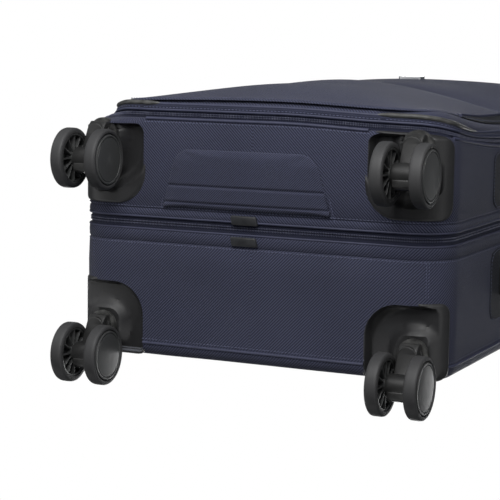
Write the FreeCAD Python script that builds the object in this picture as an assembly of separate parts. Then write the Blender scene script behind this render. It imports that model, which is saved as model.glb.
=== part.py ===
"""Softside upright suitcase on four twin-wheel casters, with a two-stage pull handle.

Millimetres. +Z is up, the front faces -Y, +X is the right side seen from the front.
The origin is the middle of the suitcase's box, on the floor. Each piece is one STEP file.
"""
import FreeCAD, Part
import math
import os

V = FreeCAD.Vector

# Case: a rounded box, lying between the rear panel and the lid
WIDTH = 355.0
BODY_HEIGHT = 485.0
CORNER_RADIUS = 35.0
WALL = 4.0
REAR_DEPTH = 121.0          # expansion zipper to the outer face of the back
FRONT_DEPTH = 98.0          # expansion zipper to the main zipper, at the bottom edge
BACK_THICKNESS = 5.0
BACK_TRAY_DEPTH = 15.0
BACK_EDGE_RADIUS = 11.0

# Lid and its pockets
LID_SWEEP = 22.0            # how far the lid's side edges run back from its bottom edge
LID_SWEEP_HEIGHT = 190.0    # height over which the side edge sweeps back
LID_INSET = 7.0
LID_DEPTH = 14.0            # bottom edge of the lid to its face
LID_EDGE_RADIUS = 10.0
POCKET_DEPTH = 18.0
POCKET_SIDE_MARGIN = 14.0
POCKET_END_MARGIN = 12.0
POCKET_GAP = 12.0
LOWER_POCKET_SHARE = 0.57
POCKET_EDGE_RADIUS = 9.0
GUARD_WIDTH = 8.0
GUARD_RUN = 65.0            # guard strip's reach in from the side of the case
GUARD_RISE = 89.0           # and up from the underside

HINGE_TAPE_WIDTH = 14.0
HINGE_TAPE_THICKNESS = 1.0
HINGE_TAPE_GAP = 0.2

# Zippers
EXPANSION_BAND = 10.0
EXPANSION_TRAVEL = 40.0
TAPE_WIDTH = 4.0
TAPE_INSET = 2.0
TAPE_THICKNESS = 1.0
SLIDER_SIZE = (5.0, 7.0, 12.0)
PULL_SIZE = (2.0, 9.0, 32.0)
PULL_PIN_RADIUS = 0.9
GUSSET_THICKNESS = 1.2
GUSSET_DEPTH = 12.0

# Casters
WHEEL_RADIUS = 27.0
WHEEL_WIDTH = 11.5
TWIN_GAP = 22.6             # between the inner faces of a caster's two wheels
TRAIL = 22.0
TREAD_THICKNESS = 4.0
AXLE_RADIUS = 3.0
STEM_RADIUS = 5.0
COLLAR_RADIUS = 13.5
COLLAR_HEIGHT = 4.0
FORK_WIDTH = 17.0
BOSS_RADIUS = 9.0
CASTER_SIDE_INSET = 27.0    # side of the case to the swivel axis
CASTER_FRONT_INSET = 19.0
CASTER_BACK_INSET = 24.0

# Wheel housings
HOUSING_PROUD = 2.0
HOUSING_RIM = 4.0
HOUSING_WRAP = 23.0         # height of the moulding on the side, above the underside
HOUSING_DISH = 5.5
HOUSING_ROOF = 3.0
FRONT_HOUSING_TAIL = 63.0   # front swivel axis to the rear edge of its housing

# Pull handle
TUBE_SPACING = 150.0
TUBE_WIDTH = 21.0
TUBE_THICKNESS = 13.0
TUBE_WALL = 1.0
TUBE_FIT = 0.3
TUBE_OVERLAP = 66.0         # length that stays engaged when a stage is drawn out
HANDLE_BACK_GAP = 8.0       # back panel to the tubes
GRIP_HEIGHT = 15.0
GRIP_DEPTH = 20.0
GRIP_PROUD = 9.0            # grip's top above the case
BEZEL_DEPTH = 22.0
FINGER_ROOM = 12.0         # space for fingers in front of the grip
BEZEL_WALL = 3.0
BEZEL_FLANGE = 5.0
BEZEL_FLANGE_HEIGHT = 1.6
BUTTON_SIZE = (34.0, 9.0, 6.0)
BUTTON_PROUD = 1.5
BUTTON_TRAVEL = 3.0

# Carry handles, side feet and base grip pad
CARRY_LENGTH = 184.0
CARRY_WIDTH = 27.0
CARRY_THICKNESS = 5.5
CARRY_GAP = 6.0
STRAP_SLOPE = 16.0          # run of webbing between the bar and its end cap
STRAP_THICKNESS = 2.4
STRAP_FOOT = 2.2
ANCHOR_LENGTH = 30.0
ANCHOR_SKIN = 2.0
CARRY_Y = 42.0
FOOT_RADIUS = 10.0
FOOT_SPACING = (62.0, 300.0)
PAD_HALF_WIDTHS = (53.0, 80.5)   # at the front edge and at the rear edge of the base pad
PAD_DEPTH = 55.0
PAD_REAR_GAP = 14.0
PAD_THICKNESS = 4.0
PAD_SHIFT = -7.5
PAD_CORNER = 18.0
FRAME_ROD_RADIUS = 1.6

# Clearances
CLEAR = 0.3                 # between bodies that pass each other
RUNNING_FIT = 0.05          # pin in its bore, on the radius
WHEEL_CLEAR = 0.8

# Derived places
BASE_Z = 2 * WHEEL_RADIUS - 1.0
TOP_Z = BASE_Z + BODY_HEIGHT
MID_Z = (BASE_Z + TOP_Z) / 2
SIDE_X = WIDTH / 2
FRONT_REACH = FRONT_DEPTH + LID_DEPTH + POCKET_DEPTH
REAR_REACH = REAR_DEPTH - CASTER_BACK_INSET + TRAIL + WHEEL_RADIUS
EXPANSION_Y = (FRONT_REACH - REAR_REACH) / 2
BACK_Y = EXPANSION_Y + REAR_DEPTH
SEAM_Y = EXPANSION_Y - FRONT_DEPTH
LID_FACE_Y = SEAM_Y - LID_DEPTH
POCKET_FACE_Y = LID_FACE_Y - POCKET_DEPTH
REAR_EDGE_Y = EXPANSION_Y + EXPANSION_BAND / 2
FRONT_EDGE_Y = EXPANSION_Y - EXPANSION_BAND / 2
HINGE_X = -SIDE_X - 1.0
HINGE_Y = SEAM_Y + LID_SWEEP
CASTER_X = SIDE_X - CASTER_SIDE_INSET
CASTER_Y = {"front": SEAM_Y + CASTER_FRONT_INSET, "rear": BACK_Y - CASTER_BACK_INSET}
RIM_Z = BASE_Z - HOUSING_PROUD
DISH_Z = BASE_Z + HOUSING_DISH
HUB_OFFSET = (TWIN_GAP + WHEEL_WIDTH) / 2
CASTER_HALF_WIDTH = TWIN_GAP / 2 + WHEEL_WIDTH
CHORD = math.sqrt(WHEEL_RADIUS ** 2 - (RIM_Z - WHEEL_RADIUS) ** 2)
DISH_RADIUS = math.hypot(TRAIL + CHORD, CASTER_HALF_WIDTH) + WHEEL_CLEAR
HOUSING_X = CASTER_X - DISH_RADIUS - HOUSING_RIM
REAR_HOUSING_Y = CASTER_Y["rear"] - DISH_RADIUS - HOUSING_RIM
FRONT_HOUSING_Y = CASTER_Y["front"] + max(FRONT_HOUSING_TAIL, DISH_RADIUS + HOUSING_RIM)
WRAP_Z = BASE_Z + HOUSING_WRAP
HANDLE_Y = BACK_Y - BACK_THICKNESS - HANDLE_BACK_GAP - TUBE_THICKNESS / 2
BEZEL_FLOOR_Z = TOP_Z - BEZEL_DEPTH
GRIP_TOP_Z = TOP_Z + GRIP_PROUD
TUBE_FOOT_Z = BASE_Z + WALL + 14.0
STAGE_TRAVEL = (BEZEL_FLOOR_Z - TUBE_FOOT_Z - TUBE_OVERLAP) * 0.62
CARRY_HALF = CARRY_LENGTH / 2


def box(x0, x1, y0, y1, z0, z1):
    """A box between three pairs of limits."""
    return Part.makeBox(x1 - x0, y1 - y0, z1 - z0, V(x0, y0, z0))


def rounded(shape, axis, radius, keep=None):
    """Round the edges that run along one axis, or those that keep() picks."""
    edges = []
    for edge in shape.Edges:
        if len(edge.Vertexes) != 2:
            continue
        step = edge.Vertexes[1].Point.sub(edge.Vertexes[0].Point)
        length = step.Length
        if abs(abs(step.dot(axis)) - length) < 1e-6 * length:
            if keep is None or keep(edge.CenterOfMass):
                edges.append(edge)
    return shape.makeFillet(radius, edges)


def rounded_box(x0, x1, y0, y1, z0, z1, axis, radius):
    """A box with its four edges along one axis rounded."""
    return rounded(box(x0, x1, y0, y1, z0, z1), axis, radius)


def disc(centre, axis, radius, length):
    """A cylinder from a point along an axis."""
    return Part.makeCylinder(radius, length, centre, axis)


def joined(shapes):
    """One solid made of touching or crossing shapes."""
    return shapes[0].fuse(shapes[1:]).removeSplitter()


def group(shapes):
    """Separate solids kept in one node."""
    return Part.makeCompound(shapes)


def case_prism(inset, y0, y1):
    """The case's rounded outline, pulled in by an inset, between two depths."""
    radius = CORNER_RADIUS - inset
    x = SIDE_X - inset
    return rounded_box(-x, x, y0, y1, BASE_Z + inset, TOP_Z - inset, V(0, 1, 0), radius)


def soften_face(shape, y, radius):
    """Round the loop of edges that lies in the plane at one depth."""
    edges = [e for e in shape.Edges if all(abs(v.Y - y) < 1e-6 for v in e.Vertexes)]
    return shape.makeFillet(radius, edges)


def ahead_of_seam(shift):
    """Everything in front of the main zipper's line, moved back by a shift.

    Seen from the side the line is straight at mid-height and bows forward to both ends.
    """
    bow = LID_SWEEP_HEIGHT
    radius = (bow ** 2 + LID_SWEEP ** 2) / (2 * LID_SWEEP)
    half = math.asin(bow / radius) / 2
    lag = radius - radius * math.cos(half)
    rise = radius * math.sin(half)
    straight_y = HINGE_Y + shift
    end_y = SEAM_Y + shift
    low = V(0, end_y, BASE_Z)
    low_mid = V(0, straight_y - lag, BASE_Z + bow - rise)
    low_top = V(0, straight_y, BASE_Z + bow)
    high_low = V(0, straight_y, TOP_Z - bow)
    high_mid = V(0, straight_y - lag, TOP_Z - bow + rise)
    high = V(0, end_y, TOP_Z)
    far_y = POCKET_FACE_Y - 50.0
    below = V(0, end_y, BASE_Z - 30.0)
    above = V(0, end_y, TOP_Z + 30.0)
    edges = [
        Part.makeLine(below, low),
        Part.Arc(low, low_mid, low_top).toShape(),
        Part.makeLine(low_top, high_low),
        Part.Arc(high_low, high_mid, high).toShape(),
        Part.makeLine(high, above),
        Part.makeLine(above, V(0, far_y, above.z)),
        Part.makeLine(V(0, far_y, above.z), V(0, far_y, below.z)),
        Part.makeLine(V(0, far_y, below.z), below),
    ]
    face = Part.Face(Part.Wire(edges))
    reach = SIDE_X + 40.0
    region = face.extrude(V(2 * reach, 0, 0))
    region.translate(V(-reach, 0, 0))
    return region


def housing_plan(end, inset, z0, z1):
    """The D-shaped plan of a right-hand wheel housing, pulled in by an inset."""
    x0 = HOUSING_X + inset
    x1 = SIDE_X + 30.0
    radius = DISH_RADIUS * 0.75
    if end == "rear":
        y0 = REAR_HOUSING_Y + inset
        y1 = BACK_Y + 30.0
        keep = lambda c: c.x < SIDE_X and c.y < BACK_Y
    else:
        y0 = LID_FACE_Y - 40.0
        y1 = FRONT_HOUSING_Y - inset
        keep = lambda c: c.x < SIDE_X and c.y > SEAM_Y
    return rounded(box(x0, x1, y0, y1, z0, z1), V(0, 0, 1), radius, keep)


def mirrored(shape, side):
    """The shape itself on the right, its mirror image on the left."""
    if side == "right":
        return shape
    return shape.mirror(V(0, 0, 0), V(1, 0, 0))


def housing_holes(end):
    """What both housings at one end take out of the fabric case."""
    hole = housing_plan(end, 0.0, BASE_Z - 20.0, WRAP_Z)
    return [hole, mirrored(hole, "left")]


# ---------------------------------------------------------------- the rear half

def rear_shell():
    """Side, top and bottom walls of the rear half, as one band of padded fabric."""
    y1 = BACK_Y - BACK_TRAY_DEPTH
    band = case_prism(0.0, REAR_EDGE_Y, y1)
    band = band.cut(case_prism(WALL, REAR_EDGE_Y - 1.0, y1 + 1.0))
    return band.cut(housing_holes("rear") + [bezel_hole()])


def back_panel():
    """The stiff back, with its edges turned forward to meet the walls."""
    y0 = BACK_Y - BACK_TRAY_DEPTH
    panel = soften_face(case_prism(0.0, y0, BACK_Y), BACK_Y, BACK_EDGE_RADIUS)
    inner = case_prism(WALL, y0 - 1.0, BACK_Y - BACK_THICKNESS)
    inner = soften_face(inner, BACK_Y - BACK_THICKNESS, BACK_EDGE_RADIUS - WALL)
    return panel.cut(housing_holes("rear") + [inner, bezel_hole()])


def bezel_limits(margin):
    """Half length, front and rear limits of the handle cup, grown by a margin."""
    half = TUBE_SPACING / 2 + TUBE_WIDTH / 2 + BEZEL_WALL + 3.0 + margin
    reach = GRIP_DEPTH / 2 + BEZEL_WALL + 1.0
    front = HANDLE_Y - reach - FINGER_ROOM - margin
    rear = min(HANDLE_Y + reach, BACK_Y - BACK_THICKNESS - 0.5) + margin
    return half, front, rear


def bezel_hole():
    """The slot that the handle cup fills in the top of the case."""
    half, front, rear = bezel_limits(0.0)
    return box(-half, half, front, rear, BEZEL_FLOOR_Z - BEZEL_WALL, TOP_Z + 1.0)


def expansion_gusset():
    """The hidden fold of cloth that opens between the two halves."""
    inset = WALL + 0.4
    y0 = REAR_EDGE_Y - GUSSET_DEPTH
    y1 = REAR_EDGE_Y + 4.0
    sleeve = case_prism(inset, y0, y1)
    return sleeve.cut(case_prism(inset + GUSSET_THICKNESS, y0 - 1.0, y1 + 1.0))


def expansion_zipper(half):
    """One tape of the expansion zipper, round the whole case."""
    depth = EXPANSION_BAND / 2
    if half == "rear":
        y0, y1 = EXPANSION_Y + CLEAR / 2, EXPANSION_Y + depth
    else:
        y0, y1 = EXPANSION_Y - depth, EXPANSION_Y - CLEAR / 2
    tape = case_prism(TAPE_INSET, y0, y1)
    return tape.cut(case_prism(WALL, y0 - 1.0, y1 + 1.0))


def side_feet():
    """Four studs that the case stands on when it lies on its left side."""
    feet = []
    reach = CARRY_GAP + CARRY_THICKNESS
    for dy in (-FOOT_SPACING[0] / 2, FOOT_SPACING[0] / 2):
        for dz in (-FOOT_SPACING[1] / 2, FOOT_SPACING[1] / 2):
            centre = V(-SIDE_X, CARRY_Y + dy, MID_Z + dz)
            cone = Part.makeCone(FOOT_RADIUS, FOOT_RADIUS * 0.7, reach, centre, V(-1, 0, 0))
            feet.append(cone)
    return group(feet)


def divider_panel():
    """The lining sheet that hides the handle tubes inside the case."""
    y1 = HANDLE_Y - TUBE_THICKNESS / 2
    y0 = y1 - 2.0
    x = SIDE_X - WALL - 1.0
    z0 = WRAP_Z + 2.0
    z1 = BEZEL_FLOOR_Z - BEZEL_WALL - 2.0
    return rounded_box(-x, x, y0, y1, z0, z1, V(0, 1, 0), 12.0)


# ---------------------------------------------------------------- the front half

def front_shell():
    """Side, top and bottom walls of the front half, with a rebate for the zipper."""
    y0 = SEAM_Y - 5.0
    band = case_prism(0.0, y0, FRONT_EDGE_Y)
    band = band.cut(case_prism(WALL, y0 - 1.0, FRONT_EDGE_Y + 1.0))
    rim = case_prism(-1.0, y0 - 1.0, FRONT_EDGE_Y)
    rim = rim.cut(case_prism(TAPE_INSET + TAPE_THICKNESS, y0 - 2.0, FRONT_EDGE_Y + 1.0))
    rebate = rim.common(ahead_of_seam(TAPE_WIDTH))
    return band.cut([ahead_of_seam(CLEAR / 2), rebate] + housing_holes("front"))


def main_zipper_body_half():
    """The tape and teeth along the front edge of the front half."""
    y0 = SEAM_Y - 5.0
    y1 = HINGE_Y + TAPE_WIDTH + 1.0
    band = case_prism(TAPE_INSET, y0, y1)
    band = band.cut(case_prism(TAPE_INSET + TAPE_THICKNESS, y0 - 1.0, y1 + 1.0))
    return band.cut(ahead_of_seam(CLEAR / 2)).common(ahead_of_seam(TAPE_WIDTH))


def main_zipper_lid_half():
    """The tape and teeth along the edge of the lid."""
    y0 = SEAM_Y - TAPE_WIDTH - 3.0
    y1 = HINGE_Y + 1.0
    band = case_prism(TAPE_INSET, y0, y1)
    band = band.cut(case_prism(LID_INSET, y0 - 1.0, y1 + 1.0))
    return band.common(ahead_of_seam(-CLEAR / 2)).cut(ahead_of_seam(-TAPE_WIDTH))


def base_pad():
    """The padded grab pocket on the underside, between the front casters."""
    y1 = FRONT_EDGE_Y - PAD_REAR_GAP + 5.0
    y0 = y1 - PAD_DEPTH
    narrow, wide = PAD_HALF_WIDTHS
    corners = [(-wide, y1), (wide, y1), (narrow, y0), (-narrow, y0)]
    points = [V(PAD_SHIFT + x, y, BASE_Z - PAD_THICKNESS) for x, y in corners]
    face = Part.Face(Part.makePolygon(points + points[:1]))
    pad = face.extrude(V(0, 0, PAD_THICKNESS))
    return rounded(pad, V(0, 0, 1), PAD_CORNER, lambda c: c.y < y0 + 1.0)


def frame_rod():
    """The spring wire that keeps the mouth of the front half in shape."""
    inset = WALL + FRAME_ROD_RADIUS + 0.2
    y = HINGE_Y + TAPE_WIDTH + 6.0
    x = SIDE_X - inset
    z0 = BASE_Z + inset
    z1 = TOP_Z - inset
    r = CORNER_RADIUS - inset
    s = r * math.sqrt(0.5)
    lines = [
        (V(-x + r, y, z0), V(x - r, y, z0)),
        (V(x, y, z0 + r), V(x, y, z1 - r)),
        (V(x - r, y, z1), V(-x + r, y, z1)),
        (V(-x, y, z1 - r), V(-x, y, z0 + r)),
    ]
    middles = [
        V(x - r + s, y, z0 + r - s),
        V(x - r + s, y, z1 - r + s),
        V(-x + r - s, y, z1 - r + s),
        V(-x + r - s, y, z0 + r - s),
    ]
    edges = []
    for i, line in enumerate(lines):
        following = lines[(i + 1) % 4]
        edges.append(Part.makeLine(line[0], line[1]))
        edges.append(Part.Arc(line[1], middles[i], following[0]).toShape())
    path = Part.Wire(edges)
    ring = Part.Wire([Part.makeCircle(FRAME_ROD_RADIUS, lines[0][0], V(1, 0, 0))])
    rod = path.makePipeShell([ring], True, False)
    clear = [h.common(box(-SIDE_X, SIDE_X, -500, 500, BASE_Z, WRAP_Z)) for h in housing_holes("front")]
    return rod.cut(clear)


# ---------------------------------------------------------------- the lid

def lid_shell():
    """The lid: a stiff face panel, sewn into a band of padded fabric with swept-back sides."""
    y1 = HINGE_Y + 1.0
    tray = soften_face(case_prism(LID_INSET, LID_FACE_Y, y1), LID_FACE_Y, LID_EDGE_RADIUS)
    hollow = case_prism(LID_INSET + WALL, LID_FACE_Y + WALL, y1 + 1.0)
    hollow = soften_face(hollow, LID_FACE_Y + WALL, LID_EDGE_RADIUS - WALL)
    tray = tray.cut(hollow).common(ahead_of_seam(-CLEAR / 2))
    sewn_in = case_prism(LID_INSET + LID_EDGE_RADIUS, LID_FACE_Y - 1.0, LID_FACE_Y + WALL + 1.0)
    return group([tray.common(sewn_in), tray.cut(sewn_in)])


def pocket_limits():
    """Half width, bottom, split and top of the two pockets on the lid's face."""
    half = SIDE_X - LID_INSET - POCKET_SIDE_MARGIN
    z0 = BASE_Z + LID_INSET + POCKET_END_MARGIN
    z3 = TOP_Z - LID_INSET - POCKET_END_MARGIN
    z1 = z0 + (z3 - z0 - POCKET_GAP) * LOWER_POCKET_SHARE
    return half, z0, z1, z1 + POCKET_GAP, z3


def pocket(which):
    """One filled pocket on the lid's face."""
    half, z0, z1, z2, z3 = pocket_limits()
    low, high = (z0, z1) if which == "lower" else (z2, z3)
    body = rounded_box(-half, half, POCKET_FACE_Y, LID_FACE_Y, low, high, V(0, 1, 0), 20.0)
    return soften_face(body, POCKET_FACE_Y, POCKET_EDGE_RADIUS)


def hinge_tape():
    """The strip of cloth down the left side that the lid turns on."""
    inner = -SIDE_X - HINGE_TAPE_GAP
    z0 = BASE_Z + LID_SWEEP_HEIGHT
    z1 = TOP_Z - LID_SWEEP_HEIGHT
    half = HINGE_TAPE_WIDTH / 2
    return box(inner - HINGE_TAPE_THICKNESS, inner, HINGE_Y - half, HINGE_Y + half, z0, z1)


def corner_guards():
    """Two rubber strips round the lid's bottom corners."""
    y1 = SEAM_Y - TAPE_WIDTH - CLEAR
    y0 = y1 - GUARD_WIDTH
    ring = case_prism(TAPE_INSET, y0, y1).cut(case_prism(LID_INSET, y0 - 1.0, y1 + 1.0))
    tray = soften_face(case_prism(LID_INSET, LID_FACE_Y, HINGE_Y), LID_FACE_Y, LID_EDGE_RADIUS)
    x0 = SIDE_X - GUARD_RUN
    zone = box(x0, SIDE_X + 1.0, y0 - 1.0, y1 + 1.0, BASE_Z - 1.0, BASE_Z + GUARD_RISE)
    ring = ring.cut(tray)
    right = ring.common(zone)
    return group([right, mirrored(right, "left")])


# ---------------------------------------------------------------- wheel housings and casters

def wheel_housing(end, side):
    """The moulded corner that holds a caster: a skin, a dished roof and a stem socket."""
    y_span = (LID_FACE_Y, FRONT_EDGE_Y) if end == "front" else (REAR_EDGE_Y, BACK_Y + HOUSING_PROUD)
    outer = case_prism(-HOUSING_PROUD, y_span[0], y_span[1])
    inner = case_prism(WALL, y_span[0] - 1.0, BACK_Y - BACK_THICKNESS if end == "rear" else y_span[1] + 1.0)
    gap = CLEAR
    plan = housing_plan(end, gap, BASE_Z - 20.0, WRAP_Z - gap)
    skin = outer.cut(inner).common(plan)
    roof = housing_plan(end, HOUSING_RIM - HOUSING_ROOF, BASE_Z, DISH_Z + HOUSING_ROOF)
    roof = roof.common(case_prism(0.0, y_span[0], y_span[1]))
    y = CASTER_Y[end]
    socket = disc(V(CASTER_X, y, DISH_Z), V(0, 0, 1), STEM_RADIUS + 5.0, HOUSING_ROOF + 6.0)
    dish = housing_plan(end, HOUSING_RIM, BASE_Z - 20.0, DISH_Z)
    bore = disc(V(CASTER_X, y, DISH_Z - 1.0), V(0, 0, 1), STEM_RADIUS + RUNNING_FIT, 30.0)
    body = joined([skin, roof, socket]).cut([dish, bore])
    if end == "front":
        body = body.cut(ahead_of_seam(TAPE_WIDTH))
    return mirrored(body, side)


def swivel_collars(end):
    """The bearing rings that the two forks at one end turn against."""
    rings = []
    for side in (-1, 1):
        foot = V(side * CASTER_X, CASTER_Y[end], DISH_Z - COLLAR_HEIGHT)
        ring = disc(foot, V(0, 0, 1), COLLAR_RADIUS, COLLAR_HEIGHT)
        bore = disc(foot, V(0, 0, 1), STEM_RADIUS + RUNNING_FIT, COLLAR_HEIGHT)
        rings.append(ring.cut(bore))
    return group(rings)


def fork(end, side):
    """The caster's central leg: stem, crown, slanted neck and axle boss."""
    x = CASTER_X if side == "right" else -CASTER_X
    y = CASTER_Y[end]
    crown_z = DISH_Z - COLLAR_HEIGHT - CLEAR
    head = 13.0
    reach = TRAIL + BOSS_RADIUS
    outline = [
        (-head + 2.0, crown_z), (head + 2.0, crown_z),
        (reach, WHEEL_RADIUS + BOSS_RADIUS + 5.0), (reach, WHEEL_RADIUS),
        (TRAIL + 4.0, WHEEL_RADIUS - BOSS_RADIUS - 3.0), (TRAIL - 6.0, WHEEL_RADIUS - BOSS_RADIUS),
        (-head + 4.0, crown_z - 13.0),
    ]
    points = [V(x - FORK_WIDTH / 2, y + dy, z) for dy, z in outline]
    neck = Part.Face(Part.makePolygon(points + points[:1])).extrude(V(FORK_WIDTH, 0, 0))
    crown = disc(V(x, y, crown_z - 6.0), V(0, 0, 1), head, 6.0)
    stem = disc(V(x, y, crown_z - 1.0), V(0, 0, 1), STEM_RADIUS, DISH_Z + HOUSING_ROOF + 7.0 - crown_z)
    hub = TWIN_GAP / 2 - WHEEL_CLEAR
    boss = disc(V(x - hub, y + TRAIL, WHEEL_RADIUS), V(1, 0, 0), BOSS_RADIUS, 2 * hub)
    bore = disc(V(x - hub - 1.0, y + TRAIL, WHEEL_RADIUS), V(1, 0, 0), AXLE_RADIUS, 2 * hub + 2.0)
    return joined([neck, crown, stem, boss]).cut(bore)


def axle(end, side):
    """The steel pin through the fork's boss and both wheels."""
    x = CASTER_X if side == "right" else -CASTER_X
    half = CASTER_HALF_WIDTH - 2.5
    return disc(V(x - half, CASTER_Y[end] + TRAIL, WHEEL_RADIUS), V(1, 0, 0), AXLE_RADIUS, 2 * half)


def wheel_profile(points):
    """A solid turned about the X axis, from (x, radius) points."""
    outline = [V(x, 0, r) for x, r in points]
    face = Part.Face(Part.makePolygon(outline + outline[:1]))
    return face.revolve(V(0, 0, 0), V(1, 0, 0), 360)


def wheel_place(end, side, which):
    """Where a wheel's middle is, and +1 or -1 for the way its cap faces."""
    x = CASTER_X if side == "right" else -CASTER_X
    outward = 1 if (which == "outer") == (side == "right") else -1
    return V(x + outward * HUB_OFFSET, CASTER_Y[end] + TRAIL, WHEEL_RADIUS), outward


def placed_wheel(shape, end, side, which):
    """Turn a wheel piece the right way and move it onto its axle."""
    centre, outward = wheel_place(end, side, which)
    if outward < 0:
        shape = shape.mirror(V(0, 0, 0), V(1, 0, 0))
    shape.translate(centre)
    return shape


def wheel_core(end, side, which):
    """A wheel's moulded centre: hub, web with ribs, and the domed cap outside."""
    half = WHEEL_WIDTH / 2
    rim = WHEEL_RADIUS - TREAD_THICKNESS
    bore = AXLE_RADIUS + RUNNING_FIT
    profile = [
        (-half, bore), (-half, bore + 3.5), (half - 5.0, bore + 3.5), (half - 5.0, rim - 3.0),
        (-half + 0.6, rim - 3.0), (-half + 0.6, rim), (half - 0.6, rim), (half + 0.4, rim - 2.0),
        (half - 0.2, rim - 6.0), (half - 0.2, 0.0), (half - 2.2, 0.0), (half - 2.2, bore),
    ]
    core = wheel_profile(profile)
    ribs = []
    for i in range(6):
        rib = box(-half + 1.5, half - 4.0, -0.9, 0.9, bore + 2.5, rim - 2.0)
        rib.rotate(V(0, 0, 0), V(1, 0, 0), 60.0 * i)
        ribs.append(rib)
    return placed_wheel(joined([core] + ribs), end, side, which)


def wheel_tyre(end, side, which):
    """A wheel's rubber tread, with rounded shoulders."""
    half = WHEEL_WIDTH / 2
    inner = WHEEL_RADIUS - TREAD_THICKNESS
    shoulder = 1.8
    profile = [
        (-half, inner), (-half, WHEEL_RADIUS - shoulder), (-half + 0.55 * shoulder, WHEEL_RADIUS - 0.4),
        (-half + 2.0 * shoulder, WHEEL_RADIUS), (half - 2.0 * shoulder, WHEEL_RADIUS),
        (half - 0.55 * shoulder, WHEEL_RADIUS - 0.4), (half, WHEEL_RADIUS - shoulder), (half, inner),
    ]
    return placed_wheel(wheel_profile(profile), end, side, which)


# ---------------------------------------------------------------- the pull handle

def stage_width(stage):
    """Outer width and thickness of a tube: 0 is fixed, 1 and 2 slide out."""
    shrink = 2 * stage * (TUBE_WALL + TUBE_FIT)
    return TUBE_WIDTH - shrink, TUBE_THICKNESS - shrink


def tube_pair(stage, z0, z1):
    """The left and right tubes of one stage."""
    width, thickness = stage_width(stage)
    tubes = []
    for x in (-TUBE_SPACING / 2, TUBE_SPACING / 2):
        outer = rounded_box(
            x - width / 2, x + width / 2, HANDLE_Y - thickness / 2, HANDLE_Y + thickness / 2,
            z0, z1, V(0, 0, 1), 2.4)
        w = width / 2 - TUBE_WALL
        t = thickness / 2 - TUBE_WALL
        inner = rounded_box(x - w, x + w, HANDLE_Y - t, HANDLE_Y + t, z0 - 1.0, z1 + 1.0, V(0, 0, 1), 1.4)
        tubes.append(outer.cut(inner))
    return tubes


def outer_tubes():
    """The two tubes fixed inside the back of the case."""
    return group(tube_pair(0, TUBE_FOOT_Z, BEZEL_FLOOR_Z - BEZEL_WALL))


def stage_1_tubes():
    """The middle pair of tubes."""
    top = BEZEL_FLOOR_Z + 1.0
    return group(tube_pair(1, top - STAGE_TRAVEL - TUBE_OVERLAP, top))


def stage_2_tubes():
    """The inner pair of tubes, fixed in the grip."""
    top = GRIP_TOP_Z - GRIP_HEIGHT
    low = BEZEL_FLOOR_Z + 1.0 - STAGE_TRAVEL - TUBE_OVERLAP + 4.0
    return group(tube_pair(2, low, top))


def handle_base():
    """The bracket that ties the feet of the fixed tubes to the bottom of the case."""
    half = TUBE_SPACING / 2 + TUBE_WIDTH / 2 + 5.0
    y0 = HANDLE_Y - TUBE_THICKNESS / 2
    y1 = HANDLE_Y + TUBE_THICKNESS / 2
    z0 = BASE_Z + WALL
    return rounded_box(-half, half, y0, y1, z0, TUBE_FOOT_Z, V(1, 0, 0), 3.0)


def handle_cup():
    """The moulded cup that the grip sinks into."""
    half, front, rear = bezel_limits(-CLEAR)
    floor = BEZEL_FLOOR_Z - BEZEL_WALL
    outer = box(-half, half, front, rear, floor, TOP_Z)
    flange_half, flange_front, flange_rear = bezel_limits(BEZEL_FLANGE)
    flange_rear = min(flange_rear, BACK_Y - BACK_EDGE_RADIUS)
    flange_rear = max(flange_rear, rear)
    flange = rounded_box(
        -flange_half, flange_half, flange_front, flange_rear, TOP_Z, TOP_Z + BEZEL_FLANGE_HEIGHT,
        V(0, 0, 1), 6.0)
    hollow = box(
        -half + BEZEL_WALL, half - BEZEL_WALL, front + BEZEL_WALL, rear - BEZEL_WALL,
        BEZEL_FLOOR_Z, TOP_Z + 10.0)
    width, thickness = stage_width(1)
    holes = []
    for x in (-TUBE_SPACING / 2, TUBE_SPACING / 2):
        holes.append(box(
            x - width / 2 - TUBE_FIT, x + width / 2 + TUBE_FIT,
            HANDLE_Y - thickness / 2 - TUBE_FIT, HANDLE_Y + thickness / 2 + TUBE_FIT,
            floor - 1.0, BEZEL_FLOOR_Z + 1.0))
    return joined([outer, flange]).cut([hollow] + holes)


def grip():
    """The hand grip: a rounded bar with a leg down onto each inner tube."""
    top = GRIP_TOP_Z
    half = TUBE_SPACING / 2 + TUBE_WIDTH / 2 + 2.0
    depth = min(GRIP_DEPTH / 2, bezel_limits(-CLEAR)[2] - BEZEL_WALL - HANDLE_Y - 0.8)
    bar = box(-half, half, HANDLE_Y - depth, HANDLE_Y + depth, top - GRIP_HEIGHT, top)
    legs = []
    for x in (-TUBE_SPACING / 2, TUBE_SPACING / 2):
        leg = TUBE_WIDTH / 2 + 2.0
        legs.append(box(
            x - leg, x + leg, HANDLE_Y - depth, HANDLE_Y + depth,
            BEZEL_FLOOR_Z + 2.0, top - GRIP_HEIGHT))
    body = joined([bar] + legs)
    body = rounded(body, V(1, 0, 0), 4.0, lambda c: c.z > top - 1.0)
    width, thickness = stage_width(2)
    sockets = []
    for x in (-TUBE_SPACING / 2, TUBE_SPACING / 2):
        sockets.append(box(
            x - width / 2, x + width / 2, HANDLE_Y - thickness / 2, HANDLE_Y + thickness / 2,
            BEZEL_FLOOR_Z, top - GRIP_HEIGHT))
    length, breadth, height = BUTTON_SIZE
    well = box(
        -length / 2 - CLEAR, length / 2 + CLEAR, HANDLE_Y - breadth / 2 - CLEAR,
        HANDLE_Y + breadth / 2 + CLEAR, top + BUTTON_PROUD - height - BUTTON_TRAVEL - CLEAR, top + 5.0)
    return body.cut(sockets + [well])


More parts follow.
